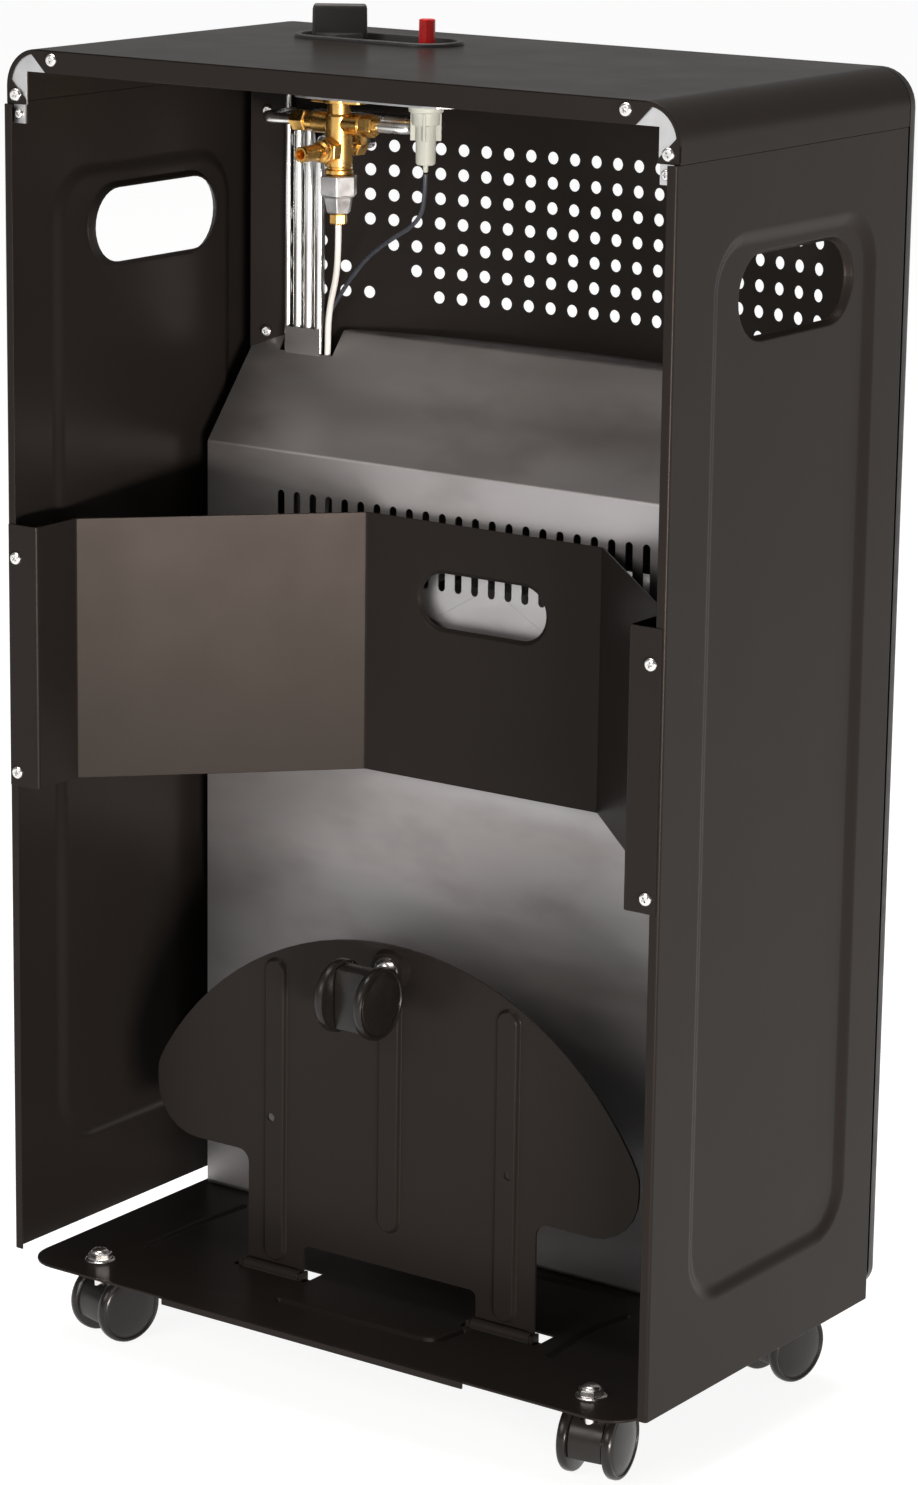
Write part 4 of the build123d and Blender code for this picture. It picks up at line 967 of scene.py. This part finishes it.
def casters():
    hood, seat = hood_mesh(), (0, 0, 0)
    stems, nuts, tray_stem, tray_nut = (Solid() for _ in range(4))
    for name, place in CASTERS.items():
        mesh = hood.copy()
        mesh.transform(Matrix.Translation(place.translation * MM) @ place.to_3x3().to_4x4())
        mesh.shade_smooth()
        mesh.set_sharp_from_angle(angle=radians(35))
        shell = finish_piece(f"{name}_caster_hood", mesh, "caster_plastic", f"{name}_swivel")
        soft_edges(shell, 0.7, 3)
        wheels = Solid(place)
        for side in (-1, 1):
            wheels.turn(WHEEL, (side * 10, AXLE_Y, AXLE_Z), (side, 0, 0), 48)
        wheels.turn([(-10, 0), (-10, 2.5), (10, 2.5), (10, 0)], (0, AXLE_Y, AXLE_Z), (1, 0, 0), 24)
        wheels.piece(f"{name}_caster_wheels", "wheel_plastic", f"{name}_wheels", 30)
        stem, nut = (tray_stem, tray_nut) if name == "tray" else (stems, nuts)
        stem.place = nut.place = place
        stem.turn([
            (AXLE_Z - 0.8, 0), (AXLE_Z - 0.8, 3.4), (-4, 3.4), (-3.6, 4.4), (-1.6, 4.6),
            (-1.5, 7.2), (-0.4, 7.6), (0, 7.4), (0, 3.6), (2, 3.6), (2, 0),
        ], seat, UP, 32)
        nut.turn([(1.5, 3), (1.5, 8.2), (2.0, 8.4), (2.6, 7.9), (3.1, 6.6), (3.1, 3)], seat, UP, 32)
        nut.turn([(2.6, 3), (2.6, 6.9), (5.6, 6.9), (6.2, 6.2), (6.2, 3)], seat, UP, 6, 0.35)
        nut.turn([(6.0, 5.0), (6.7, 4.8), (7.6, 3.9), (8.2, 2.4), (8.4, 0)], seat, UP, 24)
    stems.piece("caster_stems", "bright_zinc")
    nuts.piece("caster_nuts", "bright_zinc")
    tray_stem.piece("tray_caster_stem", "bright_zinc", "tray")
    tray_nut.piece("tray_caster_nut", "bright_zinc", "tray")


casters()


# ---- gas valve
KNOB_X, BUTTON_X, AXIS_Y = 112.0, 54.0, depth(165)
KNOB_SKIRT, KNOB_TURN = 3.0, 35.0
PLATE_LOW = TOP_Z - 31 - 1.2


def gas_train():
    """Valve, pipe nuts, hose nozzle and the hexagonal cap with its thermocouple nut."""
    axis = (KNOB_X, AXIS_Y, 0)
    out_z, front_z, nozzle_z = height(621), height(608), height(607)
    body = Solid()
    low, top = height(593), PLATE_LOW - 3
    body.turn([
        (low, 0), (low, 7.0), (low + 0.8, 7.8), (low + 3, 7.8), (low + 3.4, 6.9), (low + 4.4, 6.9),
        (low + 4.8, 7.6), (top - 7, 7.6), (top - 6, 6.6), (top, 6.6), (top, 0),
    ], axis, UP, 36)
    for side in (-1, 1):
        body.extrude(rounded_corners([
            (KNOB_X + side * x, AXIS_Y + y, r)
            for x, y, r in ((4, -7, 0), (17, -5, 3), (17, 5, 3), (4, 7, 0))
        ]), 2, top, PLATE_LOW)
    body.turn([(top, 0), (top, 9.2), (PLATE_LOW, 9.2), (PLATE_LOW, 0)], axis, UP, 32)
    body.turn([
        (-24, 0), (-24, 4.6), (-16, 5.0), (-15.4, 5.9), (15.4, 5.9), (16, 5.0), (24, 4.6), (24, 0),
    ], (KNOB_X, AXIS_Y, out_z), (1, 0, 0), 28)
    front_end = (KNOB_X, AXIS_Y, front_z)
    body.turn([(0, 5.4), (8, 5.4), (8.4, 4.6), (12, 4.6), (12, 0)], front_end, (0, -1, 0), 28)
    body.turn([(0, 6.4), (6, 6.4), (6.4, 7.4), (12.4, 7.4), (13, 6.7), (13, 0)],
              (KNOB_X, AXIS_Y, nozzle_z), (0, 1, 0), 6, 0.2)
    body.piece("gas_valve", "brass", bevel=0.25)

    nozzle = Solid()
    ridges = []
    for k in range(3):
        ridges += [(8 + k * 4.2, 3.9), (8.4 + k * 4.2, 4.5), (11.6 + k * 4.2, 3.9)]
    nozzle.turn([
        (0, 0), (0, 5.6), (0.7, 6.1), (1.6, 6.1), (2.0, 5.2), (3.0, 5.2), (3.4, 5.9), (4.4, 5.9),
        (4.8, 4.2), (7.6, 3.9), *ridges, (21.2, 4.4), (22, 4.0), (22, 2.9), (21.6, 2.6), (4, 2.6),
        (4, 0),
    ], (KNOB_X, AXIS_Y + 13, nozzle_z), (0, 1, 0), 32)
    nozzle.piece("hose_nozzle", "brass")

    cap = Solid()
    cap.turn([
        (0, 0), (0, 6.0), (0.8, 7.0), (9, 8.6), (9.6, 10.2), (10.2, 10.8), (20.2, 10.8), (21, 10.1),
        (21, 0),
    ], (KNOB_X, AXIS_Y, height(572)), UP, 6, 0.25)
    cap.piece("magnet_cap", "cap_zinc", bevel=0.35)
    nut = Solid()
    nut.turn([
        (0, 0), (0, 4.3), (0.5, 4.9), (5.4, 4.9), (6, 4.3), (6, 0),
    ], (KNOB_X, AXIS_Y, height(566)), UP, 6, 0.1)
    nut.piece("thermocouple_nut", "brass", bevel=0.2)

    nuts = Solid()
    shape = [(0, 0), (0, 5.6), (0.8, 6.4), (8, 6.4), (8.7, 5.8), (8.7, 4.4), (11, 4.1), (11, 0)]
    nuts.turn(shape, (KNOB_X + 21, AXIS_Y, out_z), (1, 0, 0), 6, 0.3)
    nuts.turn(shape, (KNOB_X - 16, AXIS_Y, out_z), (-1, 0, 0), 6, 0.1)
    nuts.turn(shape, (KNOB_X, AXIS_Y - 11, front_z), (0, -1, 0), 6, 0.2)
    nuts.piece("pipe_nuts", "brass", bevel=0.25)


def igniter():
    """Stepped igniter body with its ribs and the terminal below."""
    body = Solid()
    axis = (BUTTON_X, AXIS_Y, 0)
    steps = (
        (599, 0), (599, 1.4), (603, 1.4), (603, 4.6), (604, 5.3), (624, 5.7), (624.5, 7.6),
        (631, 7.9), (631.5, 9.4),
    )
    body.turn([
        *((height(z), r) for z, r in steps), (PLATE_LOW - 1.5, 9.6), (PLATE_LOW - 1, 10.4),
        (PLATE_LOW, 10.4), (PLATE_LOW, 0),
    ], axis, UP, 36)
    middle = Vector((BUTTON_X, AXIS_Y))
    for k in range(4):
        way = Vector(polar((0, 0), 1, pi / 2 * k + 0.5))
        side = Vector((-way.y, way.x)) * 0.8
        body.extrude([
            tuple(middle + way * out + side * hand)
            for out, hand in ((4, -1), (8.4, -1), (8.4, 1), (4, 1))
        ], 2, height(616), height(631))
    body.piece("igniter", "igniter_plastic", bevel=0.25)


gas_train()
igniter()


# ---- cover and fascia
def top_cover():
    """One sheet bent over the top; its rear flange is cut away where the brackets show."""
    rear, corner = COVER_REAR, 20.0
    half = HALF_WIDTH
    fold = Fold([(-half, PANEL_TOP), (-half, TOP_Z), (half, TOP_Z), (half, PANEL_TOP)], corner, 12)
    start = TOP_Z - corner - PANEL_TOP + corner * pi / 2 + half - corner    # length at x = 0
    hole = rounded_box(50, 18, 17.99, (start + 86, AXIS_Y))
    lines = [[(s, FRONT_Y - 1), (s, rear + 1)] for s in fold.bends]
    lines += [[(-1, y), (fold.length + 1, y)] for y in (-80, 0, 60)]

    def form(s, y):
        point, _ = fold.at(s)
        return Vector((point.x, y, point.y))

    middle = half - corner, TOP_Z - corner
    edge = [(half - 13, PANEL_TOP), (half - 13, middle[1] - 7.14)]
    edge += arc(middle, 17.5, radians(10.1), radians(69.8), 8)
    edge.append((middle[0] - 6.14, TOP_Z - 12))
    inner = edge + [(-x, z) for x, z in reversed(edge)]
    outer = [(-half, PANEL_TOP), *arc((-middle[0], middle[1]), corner, pi, -pi / 2, 10)]
    outer += [*arc(middle, corner, pi / 2, -pi / 2, 10), (half, PANEL_TOP)]
    flange = [Vector((x, rear, z)) for x, z in outer + inner]
    outline = rectangle(0, fold.length, FRONT_Y, rear)
    formed_sheet("top_cover", form, outline, [hole], lines=lines, patches=[flange], bevel=0.42)


def fascia_frame():
    """Moulded frame in front of the bowed sheet; its inner wall follows the bow."""
    face = FRONT_Y - 9.0

    def loop(inset, y, opening=False):
        half, low, high, top = (179, 69, 694.5, 12) if opening else (HALF_WIDTH, 54, TOP_Z, 20)
        half, low, high = half - inset, low + inset, high - inset
        points = []
        for x, z, radius, quarter in (
            (half, high, top - inset, 1), (half, low, 12 - inset, 0),
            (-half, low, 12 - inset, 3), (-half, high, top - inset, 2),
        ):
            middle = x - copysign(radius, x), z - copysign(radius, z - 300)
            points += arc(middle, radius, quarter * pi / 2, -pi / 2, 9)
        return [Vector((x, y if y is not None else bow_y(x) - SHEET, z)) for x, z in points]

    frame_skin = Solid()
    frame_skin.skin([
        loop(0, FRONT_Y - 0.3), loop(0, face + 4.5), loop(0.5, face + 3), loop(1.6, face + 1.4),
        loop(3, face + 0.4), loop(4.8, face), loop(-1.6, face, True), loop(-0.5, face + 0.5, True),
        loop(0, face + 1.6, True), loop(0, None, True),
    ])
    frame_skin.piece("fascia_frame", "fascia_plastic")


def stack(solid, steps, rows, *box):
    """Skin over a rounded box at each growth and height over the cover."""
    solid.skin([
        [(x, y, TOP_Z + rise) for x, y in rounded_box(*box, grow, steps)] for grow, rise in rows
    ], capped=True)


def console():
    """The dished bezel let into the cover, and the bar-grip knob that stands in it."""
    bezel = Solid()
    stack(bezel, 12, (
        (-2, -10), (-2, 0), (0, 0), (0, 1.2), (-0.25, 1.7), (-0.8, 2), (-3.2, 2), (-3.75, 1.75),
        (-4, 1.2), (-4.3, -6.5), (-5.6, -8),
    ), 52, 20, 19.99, (86, AXIS_Y))
    bezel.piece("console_bezel", "console_plastic")
    knob = Solid()
    skirt = TOP_Z + KNOB_SKIRT
    knob.turn([
        (713, 0), (713, 14), (skirt - 0.8, 13.8), (skirt, 13.2), (skirt, 0),
    ], (KNOB_X, AXIS_Y, 0), UP, 48)
    knob.place = spun((KNOB_X, AXIS_Y, 0), KNOB_TURN)
    grip = (0, 0), (-0.3, 15.5), (-0.7, 17), (-1.4, 17.8), (-2.1, 18)
    stack(knob, 5, grip, 15, 4.5, 1.6, (0, 0))
    knob.piece("control_knob", "console_plastic", "knob")


top_cover()
fascia_frame()
console()


# ---- wire guard
def wire_guard():
    low, high = height(221) + 0.8, height(389) - 0.8
    guard = Solid()
    for i in range(11):
        x = (i - 5) * 24.0
        wire = [(low, 0), (low, 1.55), (high, 1.55), (high, 0)]
        guard.turn(wire, (x, bow_y(x) + 1.65, 0), UP, 16)
    for z_low, z_high in ((low, height(225)), (height(385), high)):
        count = 24
        faces, points = [(0, 1, 2, 3)], []
        for i in range(count + 1):
            s = along_bow(-144.2 + 288.4 * i / count)
            rim = ((z_low, 3.0), (z_high, 3.0), (z_high, 3.8), (z_low, 3.8))
            points += [bowed(s, z, behind) for z, behind in rim]
        for a in range(0, 4 * count, 4):
            faces += [(a + k, a + 4 + k, a + 4 + (k + 1) % 4, a + (k + 1) % 4) for k in range(4)]
        faces.append(tuple(4 * count + k for k in (3, 2, 1, 0)))
        guard.add(points, faces)
    guard.piece("wire_guard", "guard_chrome")


wire_guard()


# ---- CAD nodes that stay
EDGE_ROUNDS = {
    "igniter_button": 0.8, "control_plate": 0.25, "right_corner_bracket": 0.25,
    "left_corner_bracket": 0.25, "tray_hinges": 0.3, "reflector": 0.2,
}
for node, piece in frame["nodes"].items():
    piece.data.materials.clear()
    piece.data.materials.append(MATERIALS[SLOTS[node]])
    if not piece.hide_render and node in EDGE_ROUNDS:
        add_modifier(piece, "WELD", merge_threshold=1e-6)
        soft_edges(piece, EDGE_ROUNDS[node], limit=32)


# ---- floor and light
def area_light(name, place, target, size, power, color):
    data = bpy.data.lights.new(name, "AREA")
    data.shape, data.size, data.size_y = "RECTANGLE", *size
    data.energy, data.color = power, color
    light = linked(name, data)
    aim = (Vector(target) - Vector(place)).to_track_quat("-Z", "Y")
    light.matrix_world = Matrix.Translation(place) @ aim.to_matrix().to_4x4()


def studio():
    mesh = bpy.data.meshes.new("floor")
    mesh.from_pydata([(x, y, 0) for x, y in rectangle(-9, 9, -9, 9)], [], [(0, 1, 2, 3)])
    floor = linked("floor", mesh)
    plain = Finish("floor", (0.3, 0.3, 0.3), 0.9, specular=0.0)
    plain.shader.inputs["Emission Color"].default_value = (1, 1, 1, 1)
    plain.shader.inputs["Emission Strength"].default_value = 0.89   # the photo's white ground
    mesh.materials.append(plain.material)
    world = bpy.data.worlds.new("studio")
    bpy.context.scene.world = world
    world.use_nodes = True
    nodes, links = world.node_tree.nodes, world.node_tree.links
    place, split, level = (
        nodes.new(f"ShaderNode{kind}") for kind in ("TexCoord", "SeparateXYZ", "MapRange")
    )
    set_range(level, (0.0, 0.1, 1.0, 0.24))     # bright at the horizon, dimmer above
    links.new(place.outputs["Generated"], split.inputs["Vector"])
    links.new(split.outputs["Z"], level.inputs["Value"])
    links.new(level.outputs["Result"], nodes["Background"].inputs["Strength"])
    nodes["Background"].inputs["Color"].default_value = (1, 1, 1, 1)
    area_light("key", (-2.0, 1.55, 0.13), (0.1, 0, 0.38), (0.8, 0.24), 72, (1, 0.9, 0.84))
    area_light("rear", (0.5, 2.8, 1.7), (0, 0, 0.5), (1.8, 1.0), 30, (1, 0.93, 0.88))
    area_light("over", (0.3, -0.2, 2.8), (0, 0, 0.7), (2.0, 2.0), 85, (1, 0.93, 0.88))
    bpy.context.scene.view_settings.view_transform = "Standard"


studio()
